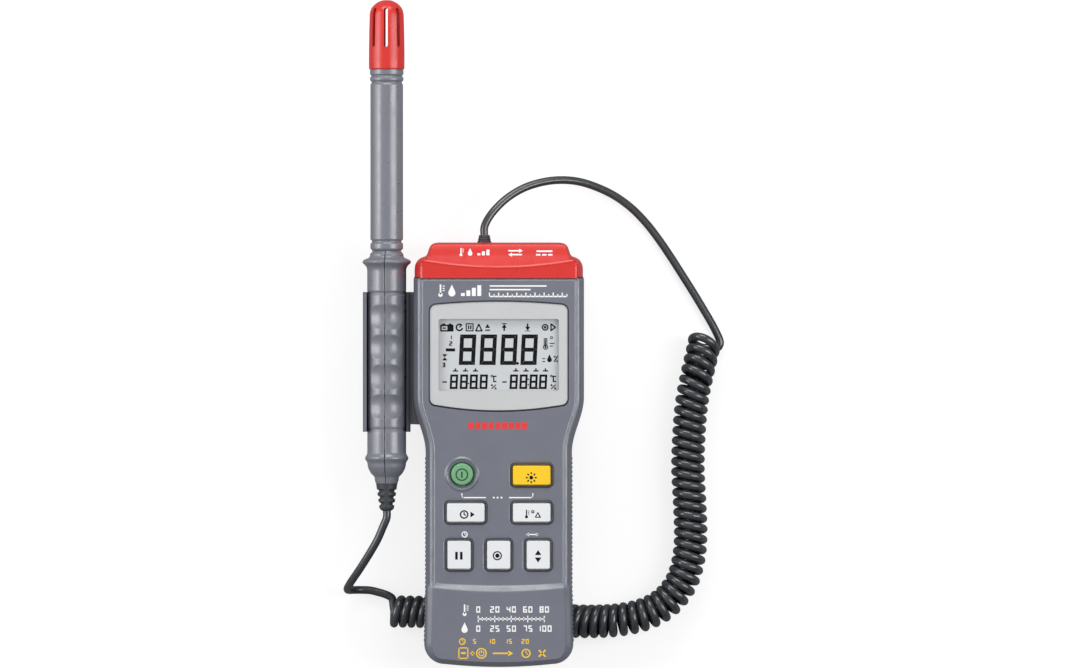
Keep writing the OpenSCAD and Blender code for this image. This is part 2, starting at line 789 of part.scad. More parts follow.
// Route of the cord: the two straight leads by points, and the line that the curls wind round
lead_out_y = 55.6;
plug_route = [
    [sensor_x, lead_out_y, socket_z], [-6.4, 59, 19.9], [-4.6, 63, 19.3], [-1.2, 67.4, 17.9], [4, 72.2, 15.4],
    [11, 76.4, 12.6], [19, 79, 9.8], [27, 80, 7.2], [35, 79.4, 5], [43, 77, 3.4], [51, 73.2, 2.4],
    [58.5, 67.8, 2], [65, 61.2, 1.9], [70.6, 54, 1.9], [75.8, 46.4, 1.9], [80.8, 38.6, 1.9], [85.6, 31, 1.9],
    [90.2, 23.4, 1.9], [94.4, 16.2, 1.9], [97, 11, 1.9], [97.9, 8.4, 1.9], [97.6, 6.8, 1.9]
];
probe_route = [
    [probe_x, -65.6, probe_z], [-49.4, -69, 26], [-51, -73, 25.8], [-53.4, -78.6, 24.8], [-56.7, -84.4, 22.8],
    [-60.2, -90, 20], [-63, -94.2, 17.2], [-65.2, -97.4, 14.3], [-66.6, -99.8, 11.4], [-67, -101, 8.9],
    [-66.4, -101.4, 6.4], [-64.4, -101.4, 4], [-61.2, -101.4, 2.5], [-57, -101.6, 1.9], [-53.6, -102.4, 1.9],
    [-50.8, -103.2, 1.9], [-48.7, -104.1, 1.9]
];
coil_line = [
    [91.6, 12], [90.2, 5], [87.4, -7], [85.2, -19], [84, -33], [83.6, -48], [84.4, -64], [84.8, -78],
    [83.6, -89], [80.4, -98.5], [74, -106.6], [65, -111.8], [54, -114.4], [42, -115.2], [28, -114.8],
    [12, -113.6], [-4, -112.4], [-20, -111.4], [-34, -111], [-46, -110.8], [-58, -110.6]
];
coil_low_z = 1.85;

// Length of the coil line up to each of its fine steps
line_steps = 8;
fine_line = concat([for (i = [0 : len(coil_line) - 2], k = [0 : line_steps - 1])
    through(coil_line[max(i - 1, 0)], coil_line[i], coil_line[i + 1],
        coil_line[min(i + 2, len(coil_line) - 1)], k / line_steps)], [coil_line[len(coil_line) - 1]]);
fine_length = [for (i = 0, s = 0; i < len(fine_line);
    s = s + (i + 1 < len(fine_line) ? norm(fine_line[i + 1] - fine_line[i]) : 0), i = i + 1) s];
line_x = [for (i = [0 : len(fine_line) - 1]) [fine_length[i], fine_line[i][0]]];
line_y = [for (i = [0 : len(fine_line) - 1]) [fine_length[i], fine_line[i][1]]];

// A smooth curve from b to c that also heeds its neighbours a and d
function through(a, b, c, d, t) = 0.5 * (2 * b + (c - a) * t + (2 * a - 5 * b + 4 * c - d) * t * t
    + (3 * b - a - 3 * c + d) * t * t * t);
function line_at(s) = [lookup(s, line_x), lookup(s, line_y)];

// Pitch of the curls, and how far the front of a curl leans along the line, by length along the line
pitch_at = [[0, 4.45], [40, 4.3], [98, 4.3], [106, 4.7], [140, 4.7], [148, 3.85], [240, 3.85], [252, 4.1]];
lean_at = [[0, -3.7], [20, -2.5], [45, -1.2], [90, -0.4], [130, 0.8], [150, 1.9], [190, 1.5], [240, 0.4]];
side_lean = 0.6;
coil_start_s = 3;
curls = 58;
rings_per_curl = 8;

// Length along the line at each ring of the curls
ring_s = [for (i = 0, s = coil_start_s; i <= curls * rings_per_curl;
    s = s + lookup(s, pitch_at) / rings_per_curl, i = i + 1) s];

function curl_point(s, angle) = let (
        u = s + side_lean * cos(angle) + lookup(s, lean_at) * sin(angle),
        along = line_at(u + 0.5) - line_at(u - 0.5),
        out = [-along[1], along[0]] / norm(along),
        r = curl_r - 0.3 * smooth((s - 190) / 50),
        flat = line_at(u) + r * cos(angle) * out
    )
    [flat[0], flat[1], coil_low_z + r * (1 + sin(angle))];

// The curls start at the back, where the plug's lead comes along the table
first_angle = -90;
curl_points = [for (i = [0 : len(ring_s) - 1]) curl_point(ring_s[i], first_angle - 360 * i / rings_per_curl)];
curl_centres = [for (s = ring_s) [line_at(s)[0], line_at(s)[1], coil_low_z + curl_r]];

// Each lead runs on in line with the end of the curls, and meets it face to face
plug_line = [1, 0, 0];
probe_line = [-0.17, 0.98, 0.005];
curl_first = curl_points[0];
curl_last = curl_points[len(curl_points) - 1];
plug_path = concat(plug_route, [curl_first + 6.3 * plug_line, curl_first + 4.4 * plug_line]);
probe_path = concat(probe_route, [curl_last + 5.7 * probe_line, curl_last + 3.6 * probe_line]);
coil_path = concat([plug_path[len(plug_path) - 1]], curl_points, [probe_path[len(probe_path) - 1]]);
coil_core = concat([curl_centres[0]], curl_centres, [curl_centres[len(curl_centres) - 1]]);

function unit(v) = v / norm(v);
function heading(path, i) = unit(path[min(i + 1, len(path) - 1)] - path[max(i - 1, 0)]);
function square_to(v, along) = unit(v - (v * along) * along);

// Directions across a path, carried along it without twist
function carried(path, first) = [for (i = 0, v = square_to(first, heading(path, 0)); i < len(path);
    v = square_to(v, heading(path, min(i + 1, len(path) - 1))), i = i + 1) v];

// Directions across a path that point away from a core
function outward(path, core) = [for (i = [0 : len(path) - 1])
    square_to(path[i] - core[i], heading(path, i))];

function tube_ring(path, across, i, r, sides) = let (
        a = across[i],
        b = cross(heading(path, i), a)
    )
    [for (k = [0 : sides - 1]) path[i] + r * (cos(360 * k / sides) * a + sin(360 * k / sides) * b)];

// A tube of flat sides along a path
module tube(path, across, sides) {
    rings = [for (i = [0 : len(path) - 1]) tube_ring(path, across, i, cord_d / 2, sides)];
    last = sides * (len(path) - 1);
    polyhedron(
        points = [for (r = rings) each r],
        faces = concat(
            [for (i = [0 : len(path) - 2], k = [0 : sides - 1])
                let (j = (k + 1) % sides)
                each two_triangles(i * sides + j, i * sides + k, (i + 1) * sides + k, (i + 1) * sides + j)],
            [[for (k = [0 : sides - 1]) k], [for (k = [sides - 1 : -1 : 0]) last + k]]
        ),
        convexity = 10
    );
}

module plug_lead() {
    color(dark) tube(plug_path, carried(plug_path, [0, 0, 1]), 8);
}

module probe_lead() {
    color(dark) tube(probe_path, carried(probe_path, [1, 0, 0]), 8);
}

// Least distance between points of the coil's tube that lie more than half a curl apart along it
function least_gap(rings, near, far) = min([for (i = [0 : len(rings) - near - 1])
    min([for (j = [i + near : min(i + far, len(rings) - 1)], a = rings[i], b = rings[j]) norm(a - b)])]);

module cord_coil() {
    across = outward(coil_path, coil_core);
    rings = [for (i = [0 : len(coil_path) - 1]) tube_ring(coil_path, across, i, cord_d / 2, 6)];
    echo(curls = curls, last_curl = coil_path[len(coil_path) - 2]);
    echo(least_gap_of_the_coil_to_itself = least_gap(rings, 4, 13));
    color(dark) tube(coil_path, across, 6);
}

front_shell();
rear_shell();
end_cap();
display_window();
display_bezel();
lcd_panel();
lcd_frame();
backlight_panel();
zebra_strips();
main_board();
board_components();
tact_switches();
keypad_mat();
key_power();
key_light();
key_time();
key_units();
key_hold();
key_record();
key_max_min();
battery_9v();
battery_snap();
battery_leads();
battery_door();
rear_screws();
sensor_socket();
data_jack();
dc_jack();
socket_board();
probe_holder();
holder_screws();
handle_left();
handle_right();
stem_tube();
sensor_guard();
sensor_board();
humidity_sensor();
temperature_sensor();
strain_relief();
inner_cable();
plug_body();
plug_shell();
plug_pins();
plug_lead();
cord_coil();
probe_lead();
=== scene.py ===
"""Digital thermo-hygrometer: meter, probe in its side clip and curly cord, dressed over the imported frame."""

import math

import bmesh
import bpy
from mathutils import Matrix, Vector, geometry


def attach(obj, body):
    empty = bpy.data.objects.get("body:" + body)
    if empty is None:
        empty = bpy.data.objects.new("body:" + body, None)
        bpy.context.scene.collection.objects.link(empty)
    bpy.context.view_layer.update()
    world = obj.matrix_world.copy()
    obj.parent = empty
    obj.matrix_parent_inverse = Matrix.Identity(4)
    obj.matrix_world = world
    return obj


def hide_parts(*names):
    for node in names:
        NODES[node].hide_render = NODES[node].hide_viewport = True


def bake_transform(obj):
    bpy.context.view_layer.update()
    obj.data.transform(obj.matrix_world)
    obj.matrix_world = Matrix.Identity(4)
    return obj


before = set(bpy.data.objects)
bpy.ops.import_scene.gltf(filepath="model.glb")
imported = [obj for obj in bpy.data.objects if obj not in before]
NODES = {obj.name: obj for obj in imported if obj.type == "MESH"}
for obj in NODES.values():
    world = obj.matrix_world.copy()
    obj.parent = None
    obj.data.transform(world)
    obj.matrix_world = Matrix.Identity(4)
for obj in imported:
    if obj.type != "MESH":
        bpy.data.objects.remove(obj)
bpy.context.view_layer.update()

# Shapes below are written in millimetres and built in metres
MM = 0.001


# Small helpers for numbers and lines


def smooth(u):
    c = min(max(u, 0.0), 1.0)
    return c * c * (3.0 - 2.0 * c)


def mix(a, b, u):
    return a + (b - a) * u


def steps(first, last, count):
    return [mix(first, last, i / count) for i in range(count + 1)]


def lookup(x, table):
    if x <= table[0][0]:
        return table[0][1]
    for (x0, y0), (x1, y1) in zip(table, table[1:]):
        if x <= x1:
            return mix(y0, y1, (x - x0) / (x1 - x0))
    return table[-1][1]


def through(points, parts):
    """A smooth line through the points, with this many parts between two of them."""
    line = []
    for i in range(len(points) - 1):
        around = (points[max(i - 1, 0)], points[i], points[i + 1], points[min(i + 2, len(points) - 1)])
        for k in range(parts):
            t = k / parts
            line.append([
                0.5 * (2 * q + (r - p) * t + (2 * p - 5 * q + 4 * r - s) * t * t
                       + (3 * q - p - 3 * r + s) * t ** 3)
                for p, q, r, s in zip(*around)
            ])
    line.append(list(points[-1]))
    return line


def length_of(points):
    return sum((Vector(b) - Vector(a)).length for a, b in zip(points, points[1:]))


# Camera: straight from above with a long lens, up is +Y

CAMERA_DISTANCE = 5.0
SENSOR = 36.0
# The view is this wide at this height over the table
VIEW_WIDTH = 0.4712
VIEW_Z = 0.02

camera_data = bpy.data.cameras.new("camera")
camera_data.sensor_width = SENSOR
camera_data.sensor_fit = "HORIZONTAL"
camera_data.lens = SENSOR * (CAMERA_DISTANCE - VIEW_Z) / VIEW_WIDTH
camera_data.clip_end = 20.0
camera = bpy.data.objects.new("camera", camera_data)
camera.location = (0.0155, 0.0119, CAMERA_DISTANCE)
bpy.context.scene.collection.objects.link(camera)
bpy.context.scene.camera = camera


# Materials


def linear(colour, k):
    """The linear colour, k times as bright, of one that is written as 0 to 255."""
    parts = [c / 255.0 for c in colour]
    parts = [c / 12.92 if c <= 0.04045 else ((c + 0.055) / 1.055) ** 2.4 for c in parts]
    return [min(c * k, 1.0) for c in parts] + [1.0]


def feed(node, **inputs):
    """Links or sets inputs of a node, with _ for each space in their names."""
    for name, given in inputs.items():
        socket = node.inputs[name.replace("_", " ")]
        if isinstance(given, bpy.types.NodeSocket):
            node.id_data.links.new(given, socket)
        else:
            socket.default_value = given
    return node


def add_node(tree, kind, **inputs):
    return feed(tree.nodes.new("ShaderNode" + kind), **inputs)


def finish(
    name, colour, roughness, grain=None, tone=0.05, tone_size=14.0, gloss_change=0.05,
    metallic=0.0, specular=0.5, alpha=1.0,
):
    """A plastic, rubber or metal with a slow change of tone, a patchy gloss and a fine grain.

    Colours are written as 0 to 255. Grain is its depth and its size, and sizes are in millimetres.
    """
    material = bpy.data.materials.new(name)
    material.use_nodes = True
    tree = material.node_tree
    place = add_node(tree, "TexCoord").outputs["Object"]

    def noise(size, detail):
        return add_node(tree, "TexNoise", Vector=place, Scale=1000.0 / size, Detail=detail).outputs["Fac"]

    ramp = add_node(tree, "ValToRGB", Fac=noise(tone_size, 4.0))
    for stop, position, k in zip(ramp.color_ramp.elements, (0.3, 0.7), (1.0 - tone, 1.0 + tone)):
        stop.position = position
        stop.color = linear(colour, k)
    gloss = add_node(
        tree, "MapRange", Value=noise(0.4 * tone_size, 3.0), From_Min=0.3, From_Max=0.7,
        To_Min=roughness - gloss_change, To_Max=roughness + gloss_change,
    )
    shader = feed(
        tree.nodes["Principled BSDF"], Base_Color=ramp.outputs["Color"], Roughness=gloss.outputs["Result"],
        Metallic=metallic, Specular_IOR_Level=specular, Alpha=alpha,
    )
    if grain:
        depth, size = grain
        bump = add_node(tree, "Bump", Height=noise(size, 2.0), Strength=1.0, Distance=depth * MM)
        feed(shader, Normal=bump.outputs["Normal"])
    return material


SMOOTH_GRAIN = (0.01, 0.35)
KEY_GRAIN = (0.015, 0.4)
INK_GRAIN = (0.004, 0.2)

GREY = finish("case_grey", (109, 112, 124), 0.33, (0.03, 0.5), tone=0.03, specular=1.0)
PROBE_GREY = finish("probe_grey", (118, 120, 130), 0.31, (0.02, 0.45), tone=0.03, specular=1.0)
CLIP_GREY = finish("clip_grey", (114, 116, 126), 0.36, (0.03, 0.5), tone=0.03, specular=1.0)
RED = finish("red_plastic", (214, 46, 40), 0.31, (0.015, 0.45), tone=0.03, specular=0.6)
RUBBER = finish("rubber_dark", (60, 64, 68), 0.45, (0.04, 0.4), tone=0.06)
GASKET = finish("gasket_dark", (52, 54, 60), 0.5, (0.01, 0.4), specular=0.2)
# Rubber round the keys, made dark enough to stand in also for the painted shade in their recesses
SURROUND_RUBBER_AND_SHADE = finish("key_rubber_and_painted_shade", (72, 75, 82), 0.5, (0.02, 0.4))
CORD = finish("cord_dark", (49, 53, 57), 0.28, (0.003, 0.6), tone=0.06, specular=0.9)
BLACK = finish("black_plastic", (30, 31, 33), 0.4, (0.02, 0.35), tone=0.08)
WHITE_KEY = finish("white_key", (229, 231, 233), 0.38, KEY_GRAIN, tone=0.015)
YELLOW_KEY = finish("yellow_key", (248, 203, 34), 0.38, KEY_GRAIN, tone=0.02)
GREEN_KEY = finish("green_key", (112, 172, 122), 0.38, KEY_GRAIN, tone=0.02)
SILVER = finish("silver_print", (206, 207, 208), 0.5, (0.008, 0.2), tone=0.015)
LCD = finish("lcd_glass", (211, 215, 218), 0.35, (0.004, 0.25), tone=0.012, tone_size=25)
SEGMENT = finish("lcd_segment", (20, 16, 17), 0.4, tone=0.06, tone_size=6, specular=0.05)
WHITE_INK = finish("white_ink", (248, 248, 248), 0.5, INK_GRAIN, tone=0.01)
YELLOW_INK = finish("yellow_ink", (248, 202, 58), 0.5, INK_GRAIN, tone=0.02)
RED_INK = finish("red_ink", (230, 52, 50), 0.5, INK_GRAIN, tone=0.03)
DARK_INK = finish("dark_ink", (18, 22, 38), 0.5, INK_GRAIN, tone=0.06, specular=0.1)
STEEL = finish("screw_steel", (176, 177, 180), 0.32, SMOOTH_GRAIN, metallic=1.0)
BRASS = finish("pin_brass", (214, 176, 92), 0.28, SMOOTH_GRAIN, metallic=1.0)
BOARD = finish("circuit_board", (28, 92, 52), 0.45, (0.02, 0.35), tone=0.12, tone_size=5)
BATTERY = finish("battery_case", (44, 46, 52), 0.3, SMOOTH_GRAIN, tone=0.08)
WHITE_PLASTIC = finish("white_plastic", (226, 227, 228), 0.45, (0.02, 0.35), tone=0.02)
PANE = finish("clear_pane", (90, 94, 98), 0.06, tone=0.01, gloss_change=0.02, alpha=0.03)
PANE.surface_render_method = "BLENDED"


# Shapes


class Shape:
    """Points and faces, in millimetres."""

    def __init__(self):
        self.points = []
        self.faces = []

    def add(self, points, faces):
        base = len(self.points)
        self.points += [list(p) for p in points]
        self.faces += [[base + i for i in face] for face in faces]
        return self

    def rows(self, rows, closed=False, lids=False):
        """A skin over rows of equally many points."""
        count = len(rows[0])
        last = count * (len(rows) - 1)
        faces = []
        for start in range(0, last, count):
            for i in range(count if closed else count - 1):
                a, b = start + i, start + (i + 1) % count
                faces.append([a, b, b + count, a + count])
        if lids:
            faces.append(list(range(count)))
            faces.append([last + i for i in range(count)])
        return self.add([p for row in rows for p in row], faces)

    def stack(self, outlines, lids=True):
        """A skin over closed outlines, each with its height."""
        return self.rows([[[x, y, z] for x, y in outline] for outline, z in outlines], closed=True, lids=lids)

    def plate(self, outline, z0, z1):
        return self.stack([(outline, z0), (outline, z1)])


def mesh_of(shape, name):
    mesh = bpy.data.meshes.new(name)
    mesh.from_pydata([[c * MM for c in p] for p in shape.points], [], shape.faces)
    work = bmesh.new()
    work.from_mesh(mesh)
    bmesh.ops.remove_doubles(work, verts=work.verts, dist=0.002 * MM)
    bmesh.ops.dissolve_degenerate(work, edges=work.edges, dist=0.0005 * MM)
    bmesh.ops.recalc_face_normals(work, faces=work.faces)
    work.to_mesh(mesh)
    work.free()
    return mesh


def link(name, mesh):
    thing = bpy.data.objects.new(name, mesh)
    bpy.context.scene.collection.objects.link(thing)
    return thing


def soften(thing, angle):
    """Smooth shading up to this angle, with the large faces kept flat."""
    mesh = thing.data
    mesh.polygons.foreach_set("use_smooth", [True] * len(mesh.polygons))
    mesh.set_sharp_from_angle(angle=math.radians(angle))
    weights = thing.modifiers.new("weights", "WEIGHTED_NORMAL")
    weights.keep_sharp = True


def carve(thing, shapes):
    """Cuts the closed shapes out of a piece."""
    for i, shape in enumerate(shapes):
        tool = link(f"cutter_{i}", mesh_of(shape, f"cutter_{i}"))
        cut = thing.modifiers.new("cut", "BOOLEAN")
        cut.operation = "DIFFERENCE"
        cut.solver = "EXACT"
        cut.object = tool
        bpy.context.view_layer.update()
        graph = bpy.context.evaluated_depsgraph_get()
        done = bpy.data.meshes.new_from_object(thing.evaluated_get(graph))
        thing.modifiers.clear()
        old = thing.data
        thing.data = done
        bpy.data.meshes.remove(old)
        bpy.data.objects.remove(tool)


def piece(name, shape, material, body="meter", replaces=(), cuts=(), angle=32):
    thing = link(name, mesh_of(shape, name))
    carve(thing, cuts)
    thing.data.name = name
    thing.data.materials.clear()
    thing.data.materials.append(material)
    soften(thing, angle)
    if replaces:
        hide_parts(*replaces)
    if body:
        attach(thing, body)
    return thing


def arc(cx, cy, r, a0, a1, count):
    angles = [math.radians(a) for a in steps(a0, a1, count)]
    return [[cx + r * math.cos(a), cy + r * math.sin(a)] for a in angles]


def circle(cx, cy, r, count):
    return arc(cx, cy, r, 0, 360 * (count - 1) / count, count - 1)


def rectangle(x0, y0, x1, y1):
    return [[x0, y0], [x1, y0], [x1, y1], [x0, y1]]


def rounded(cx, cy, w, h, r, count=6):
    """Outline of a rectangle with round corners."""
    points = []
    for quarter, (sx, sy) in enumerate([(1, 1), (-1, 1), (-1, -1), (1, -1)]):
        points += arc(cx + sx * (w / 2 - r), cy + sy * (h / 2 - r), r, 90 * quarter, 90 * quarter + 90, count)
    return points


def round_block(cx, cy, w, h, r, levels, count=6):
    """A block with round corners through levels (inset, height)."""
    return Shape().stack([
        (rounded(cx, cy, w - 2 * inset, h - 2 * inset, max(r - inset, 0.05), count), z) for inset, z in levels
    ])


def round_bar(cx, cy, levels, count=48):
    """A round body along Z through levels (radius, height)."""
    return Shape().stack([(circle(cx, cy, r, count), z) for r, z in levels])


def bar_along_y(cx, cz, levels, count=40):
    """A round body along Y through levels (radius, y)."""
    rows = [[[cx + p, y, cz + q] for p, q in circle(0, 0, r, count)] for r, y in levels]
    return Shape().rows(rows, closed=True, lids=True)


def box(low, high):
    return Shape().plate(rectangle(*low[:2], *high[:2]), low[2], high[2])


def joined(*shapes):
    whole = Shape()
    for shape in shapes:
        whole.add(shape.points, shape.faces)
    return whole


def tube(path, radii, sides):
    """A round tube along a path, with a radius at each point, carried without twist."""
    points = [Vector(p) for p in path]
    last = len(points) - 1
    ahead = [(points[min(i + 1, last)] - points[max(i - 1, 0)]).normalized() for i in range(last + 1)]
    side = ahead[0].orthogonal().normalized()
    rows = []
    for i, (point, radius) in enumerate(zip(points, radii)):
        side = (side - side.dot(ahead[i]) * ahead[i]).normalized()
        other = ahead[i].cross(side)
        rows.append([
            point + radius * (math.cos(math.tau * k / sides) * side + math.sin(math.tau * k / sides) * other)
            for k in range(sides)
        ])
    return Shape().rows(rows, closed=True, lids=True)


# Places that the source of the solids gives, in millimetres

HEAD_W = 75.0
GRIP_W = 64.4
BODY_T = 40.0
GRIP_BACK_Z = 15.6
WALL = 2.4
PARTING_Z = 26.0
PANEL_Z = 39.5
CHIN_Z = 41.25
CHIN_RISE = 1.4
HEAD_TOP_Y = 36.4
CAP_TOP_Y = 52.2
WAIST_TOP_Y = -16.0
WAIST_END_Y = -40.0
CHIN_TOP_Y = -98.2
CHIN_END_Y = -101.5
CORNER_Y = -124.3
BOTTOM_Y = -134.6
CHIN_HALF = 32.3
FOOT_HALF = 32.8
CORNER_R = 9.0
KEY_TOP_Z = 41.0
FLANGE_TOP_Z = 37.4
FLANGE_Z = 36.5
STEM_END_Z = 34.15
KEY_GAP = 0.35
PROBE_X = -49.4
PROBE_Z = 26.0
CORD_D = 3.5
SOCKET_Z = 20.0
SENSOR_X = -6.4
DATA_X = 8.4
DC_X = 20.8
DISPLAY_MID_Y = 2.65
POWER_AT = (-16.1, -49.7)
# Middle, width and height of the square keys
KEYS = {
    "light": (14.5, -50.2, 16.8, 8.7), "time": (-14.5, -66.6, 16.8, 8.4), "units": (14.5, -66.6, 16.8, 8.4),
    "hold": (-17.4, -85.2, 10.5, 12.6), "record": (0.0, -85.2, 10.5, 12.6),
    "max_min": (17.4, -85.2, 10.5, 12.6),
}


# Cord: two leads and the curls between them, on the lines of their solids

PLUG_ROUTE = [
    [-6.4, 55.6, 20], [-6.4, 59, 19.9], [-4.6, 63, 19.3], [-1.2, 67.4, 17.9], [4, 72.2, 15.4],
    [11, 76.4, 12.6], [19, 79, 9.8], [27, 80, 7.2], [35, 79.4, 5], [43, 77, 3.4], [51, 73.2, 2.4],
    [58.5, 67.8, 2], [65, 61.2, 1.9], [70.6, 54, 1.9], [75.8, 46.4, 1.9], [80.8, 38.6, 1.9], [85.6, 31, 1.9],
    [90.2, 23.4, 1.9], [94.4, 16.2, 1.9], [97, 11, 1.9], [97.9, 8.4, 1.9], [97.6, 6.8, 1.9],
]
PROBE_ROUTE = [
    [-49.4, -65.6, 26], [-49.4, -69, 26], [-51, -73, 25.8], [-53.4, -78.6, 24.8], [-56.7, -84.4, 22.8],
    [-60.2, -90, 20], [-63, -94.2, 17.2], [-65.2, -97.4, 14.3], [-66.6, -99.8, 11.4], [-67, -101, 8.9],
    [-66.4, -101.4, 6.4], [-64.4, -101.4, 4], [-61.2, -101.4, 2.5], [-57, -101.6, 1.9], [-53.6, -102.4, 1.9],
    [-50.8, -103.2, 1.9], [-48.7, -104.1, 1.9],
]
COIL_LINE = [
    [91.6, 12], [90.2, 5], [87.4, -7], [85.2, -19], [84, -33], [83.6, -48], [84.4, -64], [84.8, -78],
    [83.6, -89], [80.4, -98.5], [74, -106.6], [65, -111.8], [54, -114.4], [42, -115.2], [28, -114.8],
    [12, -113.6], [-4, -112.4], [-20, -111.4], [-34, -111], [-46, -110.8], [-58, -110.6],
]
# The curls follow the photograph a little closer than their solid in pitch and lean, and are a little thicker
COIL_LOW_Z = 1.85
CURL_R = 5.65
CURL_FULLER = 0.1
CURLS = 58
RINGS_PER_CURL = 8
FINE_PER_RING = 4
COIL_START_S = 3.0
COIL_END_S = 245.424
# By the length along the line: the pitch, and how far the curls' sides and tops lean along it
PITCH_AT = [[0, 4.5], [100, 4.45], [142, 4.4], [150, 3.85], [240, 3.85], [252, 4.1]]
SIDE_LEAN_AT = [[0, 0.6], [90, 0.6], [115, -0.5], [140, -0.5], [160, 0.6]]
LEAN_AT = [
    [0, -3.7], [9, -2.6], [17, -2.1], [24, -0.2], [60, -0.1], [112, 0], [140, 0.15], [158, 1.9], [190, 1.9],
    [240, 0.4],
]

fine_line = through(COIL_LINE, 8)
fine_length = [0.0]
for before, after in zip(fine_line, fine_line[1:]):
    fine_length.append(fine_length[-1] + math.dist(before, after))
line_x = [[s, p[0]] for s, p in zip(fine_length, fine_line)]
line_y = [[s, p[1]] for s, p in zip(fine_length, fine_line)]


def line_at(s):
    return Vector((lookup(s, line_x), lookup(s, line_y)))


def curl_point(s, degrees):
    """A point of the curls, at this length along their line and this turn."""
    turn = math.radians(degrees)
    u = s + lookup(s, SIDE_LEAN_AT) * math.cos(turn) + lookup(s, LEAN_AT) * math.sin(turn)
    along = line_at(u + 0.5) - line_at(u - 0.5)
    out = Vector((-along.y, along.x)).normalized()
    # The curls get slightly smaller towards the probe
    r = CURL_R - 0.3 * smooth((s - 190.0) / 50.0)
    flat = line_at(u) + r * math.cos(turn) * out
    return Vector((flat.x, flat.y, COIL_LOW_Z + r * (1.0 + math.sin(turn))))


ring_s = [COIL_START_S]
for i in range(CURLS * RINGS_PER_CURL + 1):
    ring_s.append(ring_s[-1] + lookup(ring_s[-1], PITCH_AT) / RINGS_PER_CURL)
fitted = (COIL_END_S - COIL_START_S) / (ring_s[-1] - COIL_START_S)
ring_s = [mix(COIL_START_S, s, fitted) for s in ring_s]
curl_points = []
for i in range(CURLS * RINGS_PER_CURL * FINE_PER_RING + 1):
    ring, part = divmod(i, FINE_PER_RING)
    s = mix(ring_s[ring], ring_s[ring + 1], part / FINE_PER_RING)
    curl_points.append(curl_point(s, -90.0 - 360.0 * i / (RINGS_PER_CURL * FINE_PER_RING)))


def lead(route, end, direction, reaches):
    """The path of a lead, which comes straight towards an end of the curls and stops short of it."""
    return through(route + [list(end + reach * direction) for reach in reaches], 4)


curl_start = curl_points[0]
curl_end = curl_points[-1]
plug_path = lead(PLUG_ROUTE, curl_start, Vector((1.0, 0.0, 0.0)), (6.3, 4.4))
probe_path = lead(PROBE_ROUTE, curl_end, Vector((-0.17, 0.98, 0.005)), (5.7, 3.6))
QUARTERS = (0.25, 0.5, 0.75)
main_path = plug_path + [list(mix(Vector(plug_path[-1]), curl_start, u)) for u in QUARTERS]
main_path += [list(p) for p in curl_points]
main_path += [list(mix(curl_end, Vector(probe_path[-1]), u)) for u in QUARTERS] + [probe_path[-1]]

CORD_R = CORD_D / 2
fuller = [CORD_R + CURL_FULLER * u for u in QUARTERS]
main_radii = [CORD_R] * len(plug_path) + fuller + [CORD_R + CURL_FULLER] * len(curl_points)
main_radii += fuller[::-1] + [CORD_R]
main_cord = piece("cord_plug_end", tube(main_path, main_radii, 16), CORD, None, angle=60)
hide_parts("plug_lead", "cord_coil")
length_of(main_path) * MM
[[c * MM for c in p] for p in main_path]
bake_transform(main_cord)

probe_tube = tube(probe_path, [CORD_R] * len(probe_path), 14)
probe_cord = piece("cord_probe_end", probe_tube, CORD, None, angle=60)
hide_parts("probe_lead")
length_of(probe_path) * MM
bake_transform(probe_cord)


# Case: the outline as in the solids, with finer steps


def body_side():
    """Right half of the body's outline, from the end cap down to the middle of the bottom."""
    side = [[HEAD_W / 2, y] for y in [HEAD_TOP_Y, 35.6, 35.4, 35.2] + steps(34.6, WAIST_TOP_Y, 21)]
    side += [
        [mix(HEAD_W, GRIP_W, smooth(i / 40)) / 2, mix(WAIST_TOP_Y, WAIST_END_Y, i / 40)] for i in range(1, 41)
    ]
    side += [[GRIP_W / 2, y] for y in steps(-41.5, -95.5, 30)]
    side += [[GRIP_W / 2 + 0.1 * smooth((CHIN_TOP_Y - y) / 3.3), y] for y in steps(-96.0, -102.8, 27)]
    for y in steps(-104.5, -123.0, 10):
        side.append([mix(CHIN_HALF, FOOT_HALF, (CHIN_END_Y - y) / (CHIN_END_Y - CORNER_Y)), y])
    return side + arc(FOOT_HALF - CORNER_R, CORNER_Y, CORNER_R, 0, -90, 18)


def bottom_sag(x):
    return 1.3 * (x / (FOOT_HALF - CORNER_R)) ** 2


def even(y):
    return 1.0


def inset_side(side, d, turn, narrow):
    """A half outline moved inwards, with its first point kept level and its last one moved along Y.

    Turn is 1 for a side that runs down and -1 for one that runs up. Narrow gives a factor for the inset by y.
    """
    moved = []
    for i, (x, y) in enumerate(side):
        x0, y0 = side[max(i - 1, 0)]
        x1, y1 = side[i + 1] if i + 1 < len(side) else (x, y)
        ax, ay = x1 - x0, y1 - y0
        step = turn * d * narrow(y) / math.hypot(ax, ay)
        moved.append([x + step * ay, y - step * ax])
    moved[0][1] = side[0][1]
    moved[-1] = [side[-1][0], side[-1][1] + turn * d * narrow(side[-1][1])]
    return moved


def end_line(half, sag):
    """The line across the closed end of a half case, from the right to the left."""
    x, y = half[-1]
    return [[x * c, y + sag(x * c) - sag(x)] for c in columns]


def ring_of(half, height, sag):
    """One ring round a half case, open at the first point of the side and closed across the other end."""
    flat_ring = half + end_line(half, sag)[1:-1] + [[-x, y] for x, y in reversed(half)]
    return [[x, y, height(x, y)] for x, y in flat_ring]


def lid_of(half, height, sag):
    """Rows from the right to the left that fill a ring."""
    rows = [[[x * c, y, height(x * c, y)] for c in columns] for x, y in half[:-1]]
    return rows + [[[x, y, height(x, y)] for x, y in end_line(half, sag)]]


